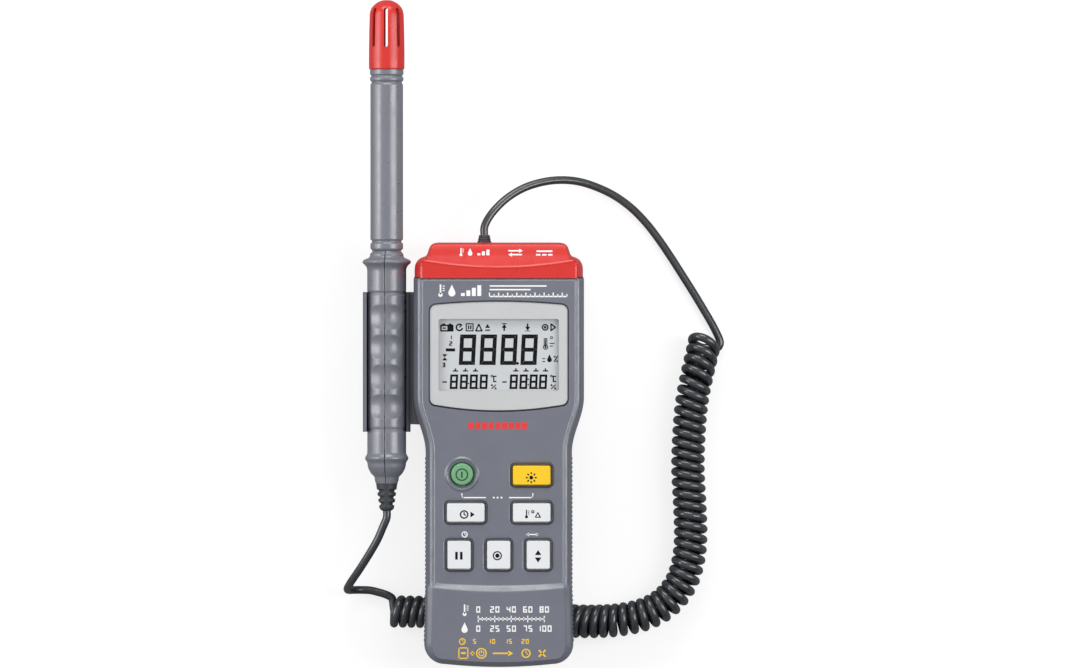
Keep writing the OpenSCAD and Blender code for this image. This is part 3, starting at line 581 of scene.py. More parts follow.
def half_case(side, levels, sag, turn=1, narrow=even):
    """A closed half of the case through rings of (inset, height function), with a lid on the outer two.

    The first point of the side lies at the open end, which gets a flat wall.
    """
    halves = [inset_side(side, d, turn, narrow) for d, height in levels]
    rings = [ring_of(half, height, sag) for half, (d, height) in zip(halves, levels)]
    low = lid_of(halves[0], levels[0][1], sag)
    top = lid_of(halves[-1], levels[-1][1], sag)
    whole = Shape().rows(rings)
    whole.rows(low)
    whole.rows(top)
    end = [r[0] for r in rings] + top[0][1:-1] + [r[-1] for r in reversed(rings)] + low[0][-2:0:-1]
    return whole.add(end, [list(range(len(end)))])


# Columns of a lid, from the right to the left, closer near the rims
close = [1.0, 0.985, 0.97, 0.955, 0.935, 0.91, 0.88, 0.84]
columns = close + steps(0.79, -0.79, 40) + [-c for c in reversed(close)]


# Height of the face's edge by its distance from the outline: drafted side, bead, groove and second bead
RIM = [
    [0.0, -8.0], [0.3, -6.6], [0.65, -5.1], [1.0, -3.75], [1.32, -2.5], [1.55, -1.6], [1.72, -1.02],
    [1.86, -0.68], [2.0, -0.5], [2.15, -0.38], [2.3, -0.27], [2.45, -0.18], [2.6, -0.1], [2.75, -0.03],
    [2.88, 0.0], [3.0, -0.03], [3.1, -0.12], [3.2, -0.24], [3.3, -0.34], [3.42, -0.39], [3.54, -0.37],
    [3.66, -0.31], [3.78, -0.29], [3.9, -0.33], [4.02, -0.41], [4.14, -0.48], [4.3, -0.5],
]
# The same over the battery, where one bead lies further in
CHIN_RIM = [
    [0.0, -8.0], [0.25, -6.0], [0.45, -4.7], [0.6, -3.8], [0.75, -3.1], [0.9, -2.65], [1.1, -2.38],
    [1.4, -2.1], [1.9, -1.68], [2.4, -1.26], [2.9, -0.84], [3.1, -0.67], [3.3, -0.45], [3.5, -0.2],
    [3.65, -0.04], [3.8, 0.0], [3.9, -0.05], [4.0, -0.12], [4.15, -0.15],
]
BEAD_AT = 2.88
BEAD_TURN_R = 2.6
# The face falls off at this slope on the last millimetre before the end cap
FALL_FROM_Y = 35.4
FALL_SLOPE = 0.62


def foot_narrow(y):
    """The edge's rounding gets narrower towards the bottom end."""
    return mix(1.0, 0.66, smooth((-127.0 - y) / 6.0))


def ramp(u, r=0.12):
    """A straight rise from 0 to 1 with a little rounding at both ends."""
    if u < 0.5:
        return 0.0 if u <= -r else u if u >= r else (u + r) ** 2 / (4 * r)
    return 1.0 - ramp(1.0 - u, r)


def band_top(x):
    """Upper edge of the smile band over the chin."""
    return -98.4 + 0.9 * (x / 28.0) ** 2


def band_low(x):
    return -101.5 + 1.8 * (x / 28.0) ** 2


def half_width(y):
    if y > WAIST_TOP_Y:
        return HEAD_W / 2
    return mix(HEAD_W, GRIP_W, smooth((WAIST_TOP_Y - y) / (WAIST_TOP_Y - WAIST_END_Y))) / 2


def round_least(a, b, r):
    """The lesser of two distances, with a round corner."""
    if a < r and b < r:
        return r - math.hypot(r - a, r - b)
    return min(a, b)


def front_height(d):
    """Height of the front face at a ring of this inset; for the lid the distance comes from x."""
    def height(x, y):
        dist = d if d < RIM[-1][0] else max(d, half_width(y) - abs(x))
        over_band = y - band_top(x)
        band = ramp(-over_band / (band_top(x) - band_low(x)))
        inner = BEAD_AT + round_least(dist - BEAD_AT, over_band + RIM[-1][0] - BEAD_AT, BEAD_TURN_R)
        high_z = BODY_T + lookup(dist if dist < BEAD_AT else max(inner, BEAD_AT), RIM)
        rim_z = BODY_T + CHIN_RISE * band + mix(lookup(dist, RIM), lookup(dist, CHIN_RIM), band)
        inside = smooth((dist - mix(3.95, 3.5, band)) / 0.4 + 0.5)
        low_z = mix(rim_z, mix(PANEL_Z, CHIN_Z, band), inside)
        return mix(high_z, low_z, smooth(-over_band / 0.8)) - FALL_SLOPE * max(0.0, y - FALL_FROM_Y)
    return height


def flat(z):
    return lambda x, y: z


side = body_side()
front_insets = [d for d, z in RIM] + [4.6, 5.0]
front_levels = [(0.0, flat(PARTING_Z))] + [(d, front_height(d)) for d in front_insets]
front = half_case(side, front_levels, bottom_sag, narrow=foot_narrow)


# What is cut out of the front: cavity, window pocket, keys

WINDOW_W = 60.7
WINDOW_R = 2.9
# From a key's side to the outer side of the rubber round it
SURROUND = 1.1


def window_edge(x, up):
    bow = 1.0 - (2 * x / WINDOW_W) ** 2
    return 24.6 + 1.6 * bow if up else -19.1 - 2.9 * bow


def window_outline(grow):
    flat_half = WINDOW_W / 2 - WINDOW_R
    r = WINDOW_R + grow
    right = [[x, window_edge(x, True) + grow] for x in steps(2.0, flat_half - 2.0, 8)]
    right += arc(flat_half, window_edge(flat_half, True) - WINDOW_R, r, 88, 0, 8)
    right += arc(flat_half, window_edge(flat_half, False) + WINDOW_R, r, 0, -88, 8)
    right += [[x, window_edge(x, False) - grow] for x in steps(flat_half - 2.0, 2.0, 8)]
    return right + [[-x, y] for x, y in reversed(right)]


def cavity(levels):
    """A closed space inside the case, open towards the end cap, through levels (inset, height function)."""
    rough = [[x, y] for i, (x, y) in enumerate(side) if i % 3 == 0 or i > len(side) - 4]
    rough[0] = [HEAD_W / 2, HEAD_TOP_Y + 5.0]
    return half_case(rough, levels, bottom_sag)


def inner_top(x, y):
    return BODY_T - WALL - 0.5 + CHIN_RISE * smooth((CHIN_TOP_Y - y) / (CHIN_TOP_Y - CHIN_END_Y))


def key_cuts(x, y, w, h):
    """The hole of a key and the dish round it."""
    dish = [(0.1, -0.8), (0.0, -0.32), (-0.12, -0.16), (-0.55, 0.03), (-0.9, 5.5)]
    dish = [(inset, PANEL_Z + z) for inset, z in dish]
    return [
        round_block(x, y, w + 2 * KEY_GAP, h + 2 * KEY_GAP, 1.1, [(0, 30), (0, 50)], 4),
        round_block(x, y, w + 2 * SURROUND, h + 2 * SURROUND, 2.0, dish, 6),
    ]


window_recess = Shape().stack([
    (window_outline(grow), PANEL_Z + z)
    for grow, z in ((0.34, -1.15), (0.36, -0.22), (0.64, 0.03), (0.8, 5.5))
])
view_opening = round_block(0, DISPLAY_MID_Y, 53.9, 32.7, 1.2, [(0, 30), (0, 50)], 4)
front_cuts = [cavity([(WALL, flat(PARTING_Z - 1)), (WALL + 0.6, inner_top)]), window_recess, view_opening]
for key in KEYS.values():
    front_cuts += key_cuts(*key)
power_dish = [(5.6, -0.8), (5.9, -0.3), (7.4, -0.02), (7.8, 5.5)]
front_cuts.append(round_bar(*POWER_AT, [(5.15, 30), (5.15, 50)]))
front_cuts.append(round_bar(*POWER_AT, [(r, PANEL_Z + z) for r, z in power_dish]))
piece("case_front", front, GREY, replaces=["front_shell"], cuts=front_cuts, angle=40)


# Rear half of the case, with the door's opening and the screw holes


def back_z(y):
    return GRIP_BACK_Z * smooth((-26.0 - y) / 24.0)


def rear_height(dz):
    return lambda x, y: back_z(y) + dz


def round_edge(inset, rise, turns):
    """Levels of a rounded edge, as (inset, height), at these degrees."""
    turns = [math.radians(t) for t in turns]
    return [(inset * (1 - math.cos(a)), rise * (1 - math.sin(a))) for a in turns]


rear_levels = [(0.0, flat(PARTING_Z - 0.12)), (0.0, rear_height(3.4))]
rear_levels += [(d, rear_height(z)) for d, z in round_edge(3.0, 3.4, range(10, 100, 10))]
rear = half_case(side, rear_levels, bottom_sag)


def rear_floor(x, y):
    return back_z(y) + WALL


rear_cuts = [
    cavity([(WALL + 0.8, rear_floor), (WALL, flat(PARTING_Z + 1))]),
    box((-25.3, BOTTOM_Y - 5, GRIP_BACK_Z - 1), (25.3, -98.7, GRIP_BACK_Z + 1.6)),
    box((-23.5, BOTTOM_Y + 4.5, GRIP_BACK_Z - 1), (23.5, -101.5, GRIP_BACK_Z + 6)),
    round_block(0, 2, 46, 30, 3, [(0.35, 0.35), (0.0, -1.0)], 6),
]
for sx in (-1, 1):
    for x, y, z in ((31.2, 28, 0.0), (25.9, -95.8, GRIP_BACK_Z)):
        rear_cuts.append(round_bar(sx * x, y, [(3.0, z + 3.2), (3.0, z + 0.6), (3.5, z), (3.6, z - 1)], 32))
piece("case_rear", rear, GREY, replaces=["rear_shell"], cuts=rear_cuts, angle=28)


# Red end cap with the smile-shaped ridge

CAP_SIDE = through([
    [37.0, 36.45], [37.05, 38.2], [37.05, 40.2], [36.85, 42.0], [36.3, 43.4], [35.4, 44.6], [34.3, 45.4],
    [33.1, 45.85], [32.2, 46.25], [31.6, 46.95], [31.2, 48.0], [30.8, 49.2], [30.3, 50.4], [29.4, 51.4],
    [28.2, 51.95], [26.6, 52.17], [25.4, 52.2],
], 6)
CAP_RIM = [
    [0.0, -8.0], [0.3, -6.5], [0.65, -5.0], [1.0, -3.7], [1.35, -2.6], [1.7, -1.75], [2.0, -1.15],
    [2.25, -0.72], [2.45, -0.42], [2.65, -0.2], [2.82, -0.07], [2.98, 0.0], [3.12, -0.04], [3.26, -0.13],
    [3.4, -0.22], [3.55, -0.25],
]
# The same at the end face, with a flat step towards the light
CAP_END_RIM = [
    [0.0, -8.0], [0.3, -5.6], [0.6, -3.8], [0.9, -2.4], [1.2, -1.35], [1.45, -0.7], [1.65, -0.38],
    [1.85, -0.24], [2.1, -0.18], [2.45, -0.12], [2.82, -0.06], [3.1, -0.01], [3.3, 0.0], [3.55, -0.02],
]


def cap_narrow(y):
    """The rounding gets narrower towards the end face."""
    return mix(1.0, 0.45, smooth((y - 42.0) / 4.0))


def ridge_y(x):
    return 41.1 + 2.8 * (x / 32.4) ** 2


def cap_height(d):
    def height(x, y):
        beyond = y - ridge_y(x)
        slope = -0.39 * (0.5 * (beyond + math.sqrt(beyond * beyond + 0.3)))
        fade = smooth((35.2 - abs(x)) / 2.5)
        ridge = 0.24 * fade * math.exp(-((beyond / 0.38) ** 2))
        rim_z = mix(lookup(d, CAP_RIM), lookup(d, CAP_END_RIM), smooth((y - 46.0) / 4.0))
        return BODY_T - 0.05 + slope + ridge + rim_z
    return height


def no_sag(x):
    return 0.0


cap_levels = [(2.4, flat(0.0))]
cap_levels += [(d, flat(z)) for d, z in round_edge(2.4, 3.2, range(80, -10, -10))]
cap_levels += [(d, cap_height(d)) for d, z in CAP_RIM]
cap = half_case(CAP_SIDE, cap_levels, no_sag, -1, cap_narrow)
cap_cuts = [box((-26.6, HEAD_TOP_Y - 1, WALL), (26.6, CAP_TOP_Y - WALL, 33))]
for x, r in ((SENSOR_X, 4.9), (DATA_X, 3.1), (DC_X, 3.9)):
    mouth = [(r, CAP_TOP_Y - 5), (r, CAP_TOP_Y - 0.4), (r + 0.5, CAP_TOP_Y + 0.02), (r + 0.6, CAP_TOP_Y + 1)]
    cap_cuts.append(bar_along_y(x, SOCKET_Z, mouth))
piece("cap", cap, RED, replaces=["end_cap"], cuts=cap_cuts, angle=30)

# Dark joint between the cap and the case
JOINT_HALF = HEAD_W / 2 - 0.25
joint_line = [[JOINT_HALF, 3.6]] + [[JOINT_HALF - 0.92 * d, BODY_T - 0.42 + z] for d, z in RIM[:12]]
joint_line += [[-x, z] for x, z in reversed(joint_line)]
joint_rows = [[[x, y, z] for x, z in joint_line] for y in (HEAD_TOP_Y - 0.1, HEAD_TOP_Y + 0.6)]
piece("cap_joint", Shape().rows(joint_rows, closed=True, lids=True), GASKET, angle=40)


# Ribs on both sides of the grip

RIB_PROFILE = [
    (GRIP_BACK_Z + 4.6, -0.5), (GRIP_BACK_Z + 5.2, 0.05), (GRIP_BACK_Z + 6.2, 0.3), (31.0, 0.3),
    (BODY_T - 8.2, 0.25), (BODY_T - 7.0, -0.05), (BODY_T - 6.4, -0.5),
]
RIBS = 42
RIBS_FROM_Y = -42.9
RIB_PITCH = 1.95

ribs = Shape()
for sx in (-1, 1):
    for i in range(RIBS):
        y = RIBS_FROM_Y - RIB_PITCH * i
        x = half_width(y)
        if y < CHIN_END_Y:
            x += 0.1 + 0.5 * (CHIN_END_Y - y) / (CHIN_END_Y - CORNER_Y)
        rows = []
        for z, out in RIB_PROFILE:
            half = [[sx * (x - 0.5), 0.62], [sx * (x + out - 0.12), 0.5], [sx * (x + out), 0.22]]
            rows.append([[p, y + q, z] for p, q in half] + [[p, y - q, z] for p, q in reversed(half)])
        ribs.rows(rows, closed=True, lids=True)
piece("grip_ribs", ribs, GREY, angle=40)


# Ring round the power key

RING_PROFILE = [
    (5.25, -0.9), (5.3, -0.35), (5.5, -0.15), (5.8, -0.05), (5.95, 0.02), (6.05, 0.08), (6.68, 0.5),
    (6.78, 0.55), (6.88, 0.56), (6.98, 0.53), (7.08, 0.48), (7.72, 0.02), (7.82, -0.05), (7.82, -0.3),
    (6.6, -0.9), (5.25, -0.9),
]
ring = Shape().stack([(circle(*POWER_AT, r, 72), PANEL_Z + z) for r, z in RING_PROFILE], lids=False)
piece("power_ring", ring, GREY, angle=50)


# Dark rubber round each square key; its dark colour is partly painted shade, standing in for the shade in the
# recess round the key

SURROUND_PROFILE = [
    (0.28, -0.95), (0.28, -0.5), (0.36, -0.3), (0.52, -0.2), (0.7, -0.22), (0.86, -0.36),
    (SURROUND - 0.08, -0.52), (SURROUND - 0.05, -0.95), (0.28, -0.95),
]
surrounds = Shape()
for x, y, w, h in KEYS.values():
    surrounds.stack([
        (rounded(x, y, w + 2 * grow, h + 2 * grow, 1.0 + grow * 0.9, 6), PANEL_Z + z)
        for grow, z in SURROUND_PROFILE
    ], lids=False)
piece("key_surrounds", surrounds, SURROUND_RUBBER_AND_SHADE, angle=40)


# Keys: a cap with soft edges, its flange and the stem

KEY_EDGE = [
    (0.12, FLANGE_TOP_Z + 0.001), (0.12, KEY_TOP_Z - 0.7), (0.2, KEY_TOP_Z - 0.3), (0.32, KEY_TOP_Z - 0.1),
    (0.5, KEY_TOP_Z),
]
# How far a square key's flange reaches out under the panel
LIP = KEY_GAP + 0.7
POWER_KEY_LEVELS = [
    (5.85, FLANGE_Z), (5.85, FLANGE_TOP_Z), (4.8, FLANGE_TOP_Z + 0.001), (4.8, KEY_TOP_Z - 0.6),
    (4.7, KEY_TOP_Z - 0.3), (4.45, KEY_TOP_Z - 0.08), (4.1, KEY_TOP_Z), (3.0, KEY_TOP_Z),
]


def key_piece(name, shape, x, y, material, slot):
    stem = round_bar(x, y, [(2.0, STEM_END_Z), (2.0, FLANGE_Z + 0.05)], 24)
    piece(f"cap_{name}", joined(shape, stem), material, f"{name}_key", replaces=[f"key_{name}"])


for name, (x, y, w, h) in KEYS.items():
    cap_and_flange = round_block(x, y, w, h, 1.0, [(-LIP, FLANGE_Z), (-LIP, FLANGE_TOP_Z)] + KEY_EDGE, 5)
    material, slot = (YELLOW_KEY, "yellow_key") if name == "light" else (WHITE_KEY, "white_key")
    key_piece(name, cap_and_flange, x, y, material, slot)
key_piece("power", round_bar(*POWER_AT, POWER_KEY_LEVELS), *POWER_AT, GREEN_KEY, "green_key")


# Display: printed frame, pane and gasket


def towards(outline, angle):
    """The point of a closed outline in this direction from the middle of the display."""
    centre = Vector((0.0, DISPLAY_MID_Y))
    far = centre + 100.0 * Vector((math.cos(angle), math.sin(angle)))
    for a, b in zip(outline, outline[1:] + outline[:1]):
        hit = geometry.intersect_line_line_2d(centre, far, Vector(a), Vector(b))
        if hit is not None:
            return [hit.x, hit.y]
    return None


window = window_outline(0.0)
opening = rounded(0, DISPLAY_MID_Y, 52.9, 31.7, 1.0, 4)
angles = [math.tau * i / 360 for i in range(360)]
outer = [towards(window, a) for a in angles]
inner = [towards(opening, a) for a in angles]
bezel_low = PANEL_Z - 0.5
bezel_top = PANEL_Z - 0.25
bezel = Shape().stack([
    (inner, bezel_low), (inner, bezel_top), (outer, bezel_top), (outer, bezel_low), (inner, bezel_low),
], lids=False)
piece("bezel_print", bezel, SILVER, replaces=["display_bezel"])
pane = Shape().stack([(window, PANEL_Z - 0.22), (window, PANEL_Z - 0.12), (window_outline(-0.15), PANEL_Z)])
piece("pane", pane, PANE, replaces=["display_window"])

# The dark gasket round the window is partly painted shade: it stands in for the shade in the gap round the
# pane, and is made wider over the lower edge
# Growth over the window, lift of the lower edge, and height over the panel
GASKET_PROFILE = [
    (0.03, 0.0, -1.1), (0.03, 0.0, 0.01), (-0.1, 0.3, 0.01), (-0.08, 0.3, 0.04), (0.1, 0.0, 0.04),
    (0.26, 0.0, -0.05), (0.32, 0.0, -0.25), (0.32, 0.0, -1.1), (0.03, 0.0, -1.1),
]
gasket = Shape().stack([
    ([[x, y + (lift if y < 0.0 else 0.0)] for x, y in window_outline(grow)], PANEL_Z + z)
    for grow, lift, z in GASKET_PROFILE
], lids=False)
piece("window_gasket_and_shade", gasket, GASKET, angle=50)


# Printed marks

LCD_Z = 37.3
SEGMENTS = {
    "0": "abcdef", "1": "bc", "2": "abged", "3": "abgcd", "4": "fgbc", "5": "afgcd", "6": "afgedc",
    "7": "abc", "8": "abcdefg", "9": "abcdfg",
}


class Print:
    """Flat marks on a surface at one height."""

    def __init__(self, z, thickness=0.03):
        self.shape = Shape()
        self.low = z - 0.02
        self.top = z + thickness

    def plates(self, *outlines):
        for outline in outlines:
            self.shape.plate(outline, self.low, self.top)

    def boxes(self, *corners):
        self.plates(*[rectangle(*four) for four in corners])

    def line(self, x0, y0, x1, y1, width):
        ax, ay = x1 - x0, y1 - y0
        size = math.hypot(ax, ay)
        px, py = -ay / size * width / 2, ax / size * width / 2
        self.plates([[x0 + px, y0 + py], [x0 - px, y0 - py], [x1 - px, y1 - py], [x1 + px, y1 + py]])

    def lines(self, points, width):
        for (x0, y0), (x1, y1) in zip(points, points[1:]):
            self.line(x0, y0, x1, y1, width)
        for x, y in points[1:-1]:
            self.disc(x, y, width / 2, 12)

    def loop(self, points, width):
        self.lines(points + points[:2], width)

    def disc(self, x, y, r, count=28):
        self.plates(circle(x, y, r, count))

    def ring(self, x, y, r, width, a0=0, a1=360):
        count = max(int((a1 - a0) / 8), 6)
        out = arc(x, y, r + width / 2, a0, a1, count)
        back = arc(x, y, r - width / 2, a0, a1, count)
        for i in range(count):
            self.plates([out[i], out[i + 1], back[i + 1], back[i]])

    def clock(self, x, y, r, width, up, across, down, hand):
        self.ring(x, y, r, width)
        self.lines([[x, y + up], [x, y], [x + across, y - down]], hand)

    def thermometer(self, x, y, h):
        self.disc(x, y + 0.17 * h, 0.17 * h)
        self.line(x, y + 0.2 * h, x, y + 0.98 * h, 0.13 * h)
        for tick in (0.5, 0.67, 0.84):
            self.line(x + 0.16 * h, y + tick * h, x + 0.34 * h, y + tick * h, 0.07 * h)

    def drop(self, x, y, h):
        self.plates(arc(x, y + 0.3 * h, 0.3 * h, 160, 380, 18) + [[x, y + h]])

    def digit(self, sign, x, y, w, h, stroke, slant=0.0, gap=0.0):
        """A seven-segment digit with mitred ends, its lower left corner at x, y."""
        m, t, g = h / 2, stroke, gap
        bars = {
            "a": [[g, h], [w - g, h], [w - t - g, h - t], [t + g, h - t]],
            "f": [[0, h - g], [0, m + g], [t / 2, m + g * 0.6], [t, m + t / 2 + g], [t, h - t - g]],
            "g": [
                [t / 2 + g, m], [t + g, m + t / 2], [w - t - g, m + t / 2], [w - t / 2 - g, m],
                [w - t - g, m - t / 2], [t + g, m - t / 2],
            ],
        }
        bars["d"] = [[px, h - py] for px, py in bars["a"]]
        bars["e"] = [[px, h - py] for px, py in bars["f"]]
        bars["b"] = [[w - px, py] for px, py in bars["f"]]
        bars["c"] = [[w - px, py] for px, py in bars["e"]]
        self.plates(*[[[x + px + slant * py, y + py] for px, py in bars[name]] for name in SEGMENTS[sign]])

    def numbers(self, text, x0, x1, y, w, h, stroke, pitch):
        """Plain numbers in a row, with their middles spread evenly from x0 to x1."""
        numbers = text.split()
        for number, middle in zip(numbers, steps(x0, x1, len(numbers) - 1)):
            left = middle - (pitch * len(number) - (pitch - w)) / 2
            for i, sign in enumerate(number):
                self.digit(sign, left + pitch * i, y, w, h, stroke)

    def done(self, name, ink, slot, body="meter"):
        piece(name, self.shape, ink, body, angle=20)

    def on_key(self, key, ink):
        self.done(f"{key}_key_marks", ink, "black_plastic", f"{key}_key")


# What the liquid crystal shows: large digits, then small ones
lcd = Print(LCD_Z)
for x in (-17.6, -8.5, 0.6, 9.5):
    lcd.digit("8", x, -1.7, 7.1, 13.4, 1.75, 0.05, 0.03)
lcd.disc(8.25, -1.0, 0.6)
for x in (-21.6, -17.2, -12.9, -8.5, 4.7, 9.0, 13.4, 17.6):
    lcd.digit("8", x, -12.3, 3.45, 6.4, 0.95, 0.05)
lcd.boxes((-23.3, 4.25, -19.2, 5.6), (-24.8, -9.5, -22.8, -8.9), (1.5, -9.5, 3.5, -8.9))
for x, y in ((-13.3, -9.9), (-9.2, -12), (13, -8.0), (13, -10.4), (17.1, -12)):
    lcd.disc(x, y, 0.33, 12)
# Battery mark with its poles
lcd.loop(rectangle(-25.4, 13.3, -20.2, 15.7), 0.65)
lcd.boxes((-24.8, 15.7, -23.6, 16.5), (-22.0, 15.7, -20.8, 16.5))
lcd.boxes((-22.6, 13.4, -20.3, 15.6), (-24.7, 14.2, -23.3, 14.8))
# Round arrow, two bars in a box, triangle
lcd.ring(-17.3, 14.8, 1.35, 0.7, 60, 350)
lcd.line(-17.3, 14.8, -16.2, 16.1, 0.6)
lcd.loop(rectangle(-14.3, 13.3, -11.3, 16.4), 0.5)
lcd.boxes((-13.55, 14.0, -12.95, 15.7), (-12.6, 14.0, -12.0, 15.7))
lcd.loop([[-10.1, 13.3], [-8.75, 16.2], [-7.4, 13.3]], 0.6)
# Triangles with bars, a ring round a disc, and an arrow head
lcd.plates([[-6.0, 14.6], [-3.8, 14.6], [-4.9, 16.3]], [[1.3, 14.6], [3.5, 14.6], [2.4, 16.3]])
lcd.plates([[11.6, 15.1], [13.8, 15.1], [12.7, 13.4]])
lcd.boxes((-6.0, 13.3, -3.8, 13.85), (1.3, 16.2, 3.5, 16.6), (2.05, 13.3, 2.75, 14.7))
lcd.boxes((11.6, 13.1, 13.8, 13.4), (12.35, 15.0, 13.05, 16.5))
lcd.ring(20.4, 14.85, 1.2, 0.6)
lcd.disc(20.4, 14.85, 0.6)
lcd.loop([[23.0, 13.4], [23.0, 16.3], [24.9, 14.85]], 0.6)
# Small marks at the left: 1, 2, an hourglass and 3
lcd.digit("1", -21.6, 9.4, 1.0, 2.0, 0.5)
lcd.digit("2", -21.8, 6.7, 1.4, 2.0, 0.5)
lcd.plates([[-24.9, 3.0], [-22.6, 3.0], [-23.75, 1.7]], [[-24.9, 0.3], [-22.6, 0.3], [-23.75, 1.6]])
lcd.digit("3", -24.9, -2.7, 1.4, 2.0, 0.5)
# Thermometer and drop at the right
lcd.ring(20.6, 6.1, 0.95, 0.4)
lcd.disc(20.6, 6.1, 0.5)
lcd.boxes((20.35, 6.4, 20.85, 9.6), (22.4, 7.6, 24.6, 8.0), (22.4, 6.4, 23.9, 6.8))
lcd.lines([[20.0, 6.9], [20.0, 9.9], [21.2, 9.9], [21.2, 6.9]], 0.34)
lcd.ring(23.2, 10.3, 0.5, 0.3)
lcd.plates(arc(22.3, 0.55, 1.05, 160, 380, 12) + [[22.3, 2.9]])
lcd.boxes((19.2, -0.4, 20.4, 0.0), (19.2, 0.9, 20.4, 1.3))
lcd.disc(24.6, 1.9, 0.42, 14)
lcd.disc(25.6, -0.1, 0.42, 14)
lcd.line(24.3, -0.4, 25.9, 2.3, 0.5)
# A row of small ticks over the lower digits, and the marks beside them
for x in (-20.2, -15.8, -11.4, 6.4, 10.8, 15.2, 19.4):
    lcd.boxes((x, -4.6, x + 2.3, -4.05), (x + 0.85, -4.2, x + 1.45, -3.2))
for x in (-3.4, 22.8):
    lcd.ring(x + 0.35, -6.6, 0.4, 0.34)
    lcd.lines([[x + 2.4, -6.7], [x + 1.2, -6.7], [x + 1.2, -9.0], [x + 2.4, -9.0]], 0.55)
    lcd.disc(x + 0.4, -10.6, 0.45, 12)
    lcd.disc(x + 2.0, -12.0, 0.45, 12)
    lcd.line(x + 0.2, -12.2, x + 2.2, -10.4, 0.45)
lcd.done("lcd_marks", SEGMENT, "lcd_glass")

# Panel: the bracket under two keys
panel = Print(PANEL_Z)
panel.lines([[-16.2, -58.1], [-16.2, -59.4], [-15.6, -60.0], [-5.6, -60.0]], 0.5)
panel.lines([[4.5, -60.0], [14.4, -60.0], [15.0, -59.4], [15.0, -58.1]], 0.5)
for x in (-2.2, -0.5, 1.2):
    panel.disc(x, -60.0, 0.42, 16)
# Thermometer, drop, rising bars and a scale over the display
panel.thermometer(-25.6, 28.2, 5.6)
panel.drop(-20.6, 28.4, 5.2)
for k in range(4):
    panel.boxes((-16.6 + 2.4 * k, 28.6, -14.9 + 2.4 * k, 29.9 + 1.15 * k))
for end_x, y in ((21.0, 33.0), (14.0, 31.4), (30.0, 28.4)):
    panel.line(-4.0, y, end_x, y, 0.6)
for k in range(18):
    panel.boxes((-4.3 + 2.0 * k, 28.4, -3.8 + 2.0 * k, 29.4 + (0.7 if k % 2 == 0 else 0.0)))
# Clock and arrow marks over the outer lower keys
panel.clock(-15.0, -76.2, 1.15, 0.4, 0.8, 0.7, 0.3, 0.36)
panel.line(12.4, -76.2, 17.2, -76.2, 0.45)
panel.plates([[12.0, -76.2], [13.2, -75.4], [13.2, -77.0]], [[17.6, -76.2], [16.4, -75.4], [16.4, -77.0]])
panel.done("panel_marks", WHITE_INK, "silver_print")

# Raised part at the bottom: two white scales, and a row of yellow marks
SCALE_Y = -113.3
chin = Print(CHIN_Z)
chin.thermometer(-15.0, -112.0, 5.2)
chin.drop(-15.0, -119.4, 4.6)
chin.numbers("0 20 40 60 80", -9.0, 20.0, -110.5, 1.75, 2.75, 0.52, 2.35)
chin.numbers("0 25 50 75 100", -9.0, 20.0, -118.9, 1.75, 2.75, 0.52, 2.35)
chin.line(-9.3, SCALE_Y, 20.3, SCALE_Y, 0.55)
for k, x in enumerate(steps(-9.0, 20.0, 16)):
    reach = 1.45 if k % 4 == 0 else 0.85
    chin.line(x, SCALE_Y - reach, x, SCALE_Y + reach, 0.44)
chin.done("chin_marks", WHITE_INK, "silver_print")

ROW_Y = -128.4
yellow = Print(CHIN_Z)
yellow.clock(-16.0, -123.2, 1.25, 0.46, 0.9, 0.7, 0.4, 0.4)
yellow.numbers("5 10 15 20", -10.6, 11.6, -124.2, 1.35, 2.1, 0.42, 1.85)
yellow.loop(rectangle(-17.5, -126.0, -13.6, -130.6), 0.5)
yellow.boxes((-16.6, -128.7, -14.5, -127.9))
yellow.line(-12.6, ROW_Y, -10.6, ROW_Y, 0.6)
yellow.line(-11.6, -129.4, -11.6, -127.4, 0.6)
yellow.ring(-7.6, ROW_Y, 2.1, 0.55)
yellow.ring(-7.6, ROW_Y, 1.1, 0.4, -240, 60)
yellow.line(-7.6, ROW_Y, -7.6, -126.9, 0.45)
yellow.line(-2.6, ROW_Y, 4.6, ROW_Y, 0.65)
yellow.plates([[6.4, ROW_Y], [4.2, -127.2], [4.2, -129.6]])
yellow.clock(12.0, ROW_Y, 1.75, 0.55, 1.1, 0.9, 0.5, 0.45)
yellow.line(17.6, -126.9, 20.6, -129.9, 0.65)
yellow.line(17.6, -129.9, 20.6, -126.9, 0.65)
yellow.done("chin_yellow_marks", YELLOW_INK, "yellow_key")

# Keys: sun, ring with a bar, clock with an arrow
marks = Print(KEY_TOP_Z)
marks.disc(14.3, -51.2, 0.85)
for (x0, y0), (x1, y1) in zip(circle(14.3, -51.2, 1.5, 8), circle(14.3, -51.2, 2.4, 8)):
    marks.line(x0, y0, x1, y1, 0.62)
marks.on_key("light", DARK_INK)

marks = Print(KEY_TOP_Z)
marks.ring(-16.2, -49.9, 2.5, 0.6)
marks.line(-16.2, -51.25, -16.2, -48.55, 0.67)
marks.on_key("power", RUBBER)

marks = Print(KEY_TOP_Z)
marks.clock(-15.2, -67.4, 1.6, 0.6, 1.1, 0.8, 0.4, 0.5)
marks.plates([[-12.4, -66.1], [-12.4, -68.7], [-10.6, -67.4]])
marks.on_key("time", DARK_INK)

# Thermometer with a small ring and a triangle, two bars, ring with a disc, two arrow heads
marks = Print(KEY_TOP_Z)
marks.thermometer(12.2, -69.1, 3.8)
marks.ring(15.0, -66.2, 0.5, 0.45)
marks.lines([[16.1, -68.6], [17.2, -66.6], [18.3, -68.6], [16.1, -68.6]], 0.45)
marks.on_key("units", DARK_INK)

marks = Print(KEY_TOP_Z)
marks.boxes((-19.1, -87.2, -18.0, -83.8), (-17.0, -87.2, -15.9, -83.8))
marks.on_key("hold", DARK_INK)

marks = Print(KEY_TOP_Z)
marks.ring(-0.6, -85.5, 1.75, 0.55)
marks.disc(-0.6, -85.5, 0.95)
marks.on_key("record", DARK_INK)

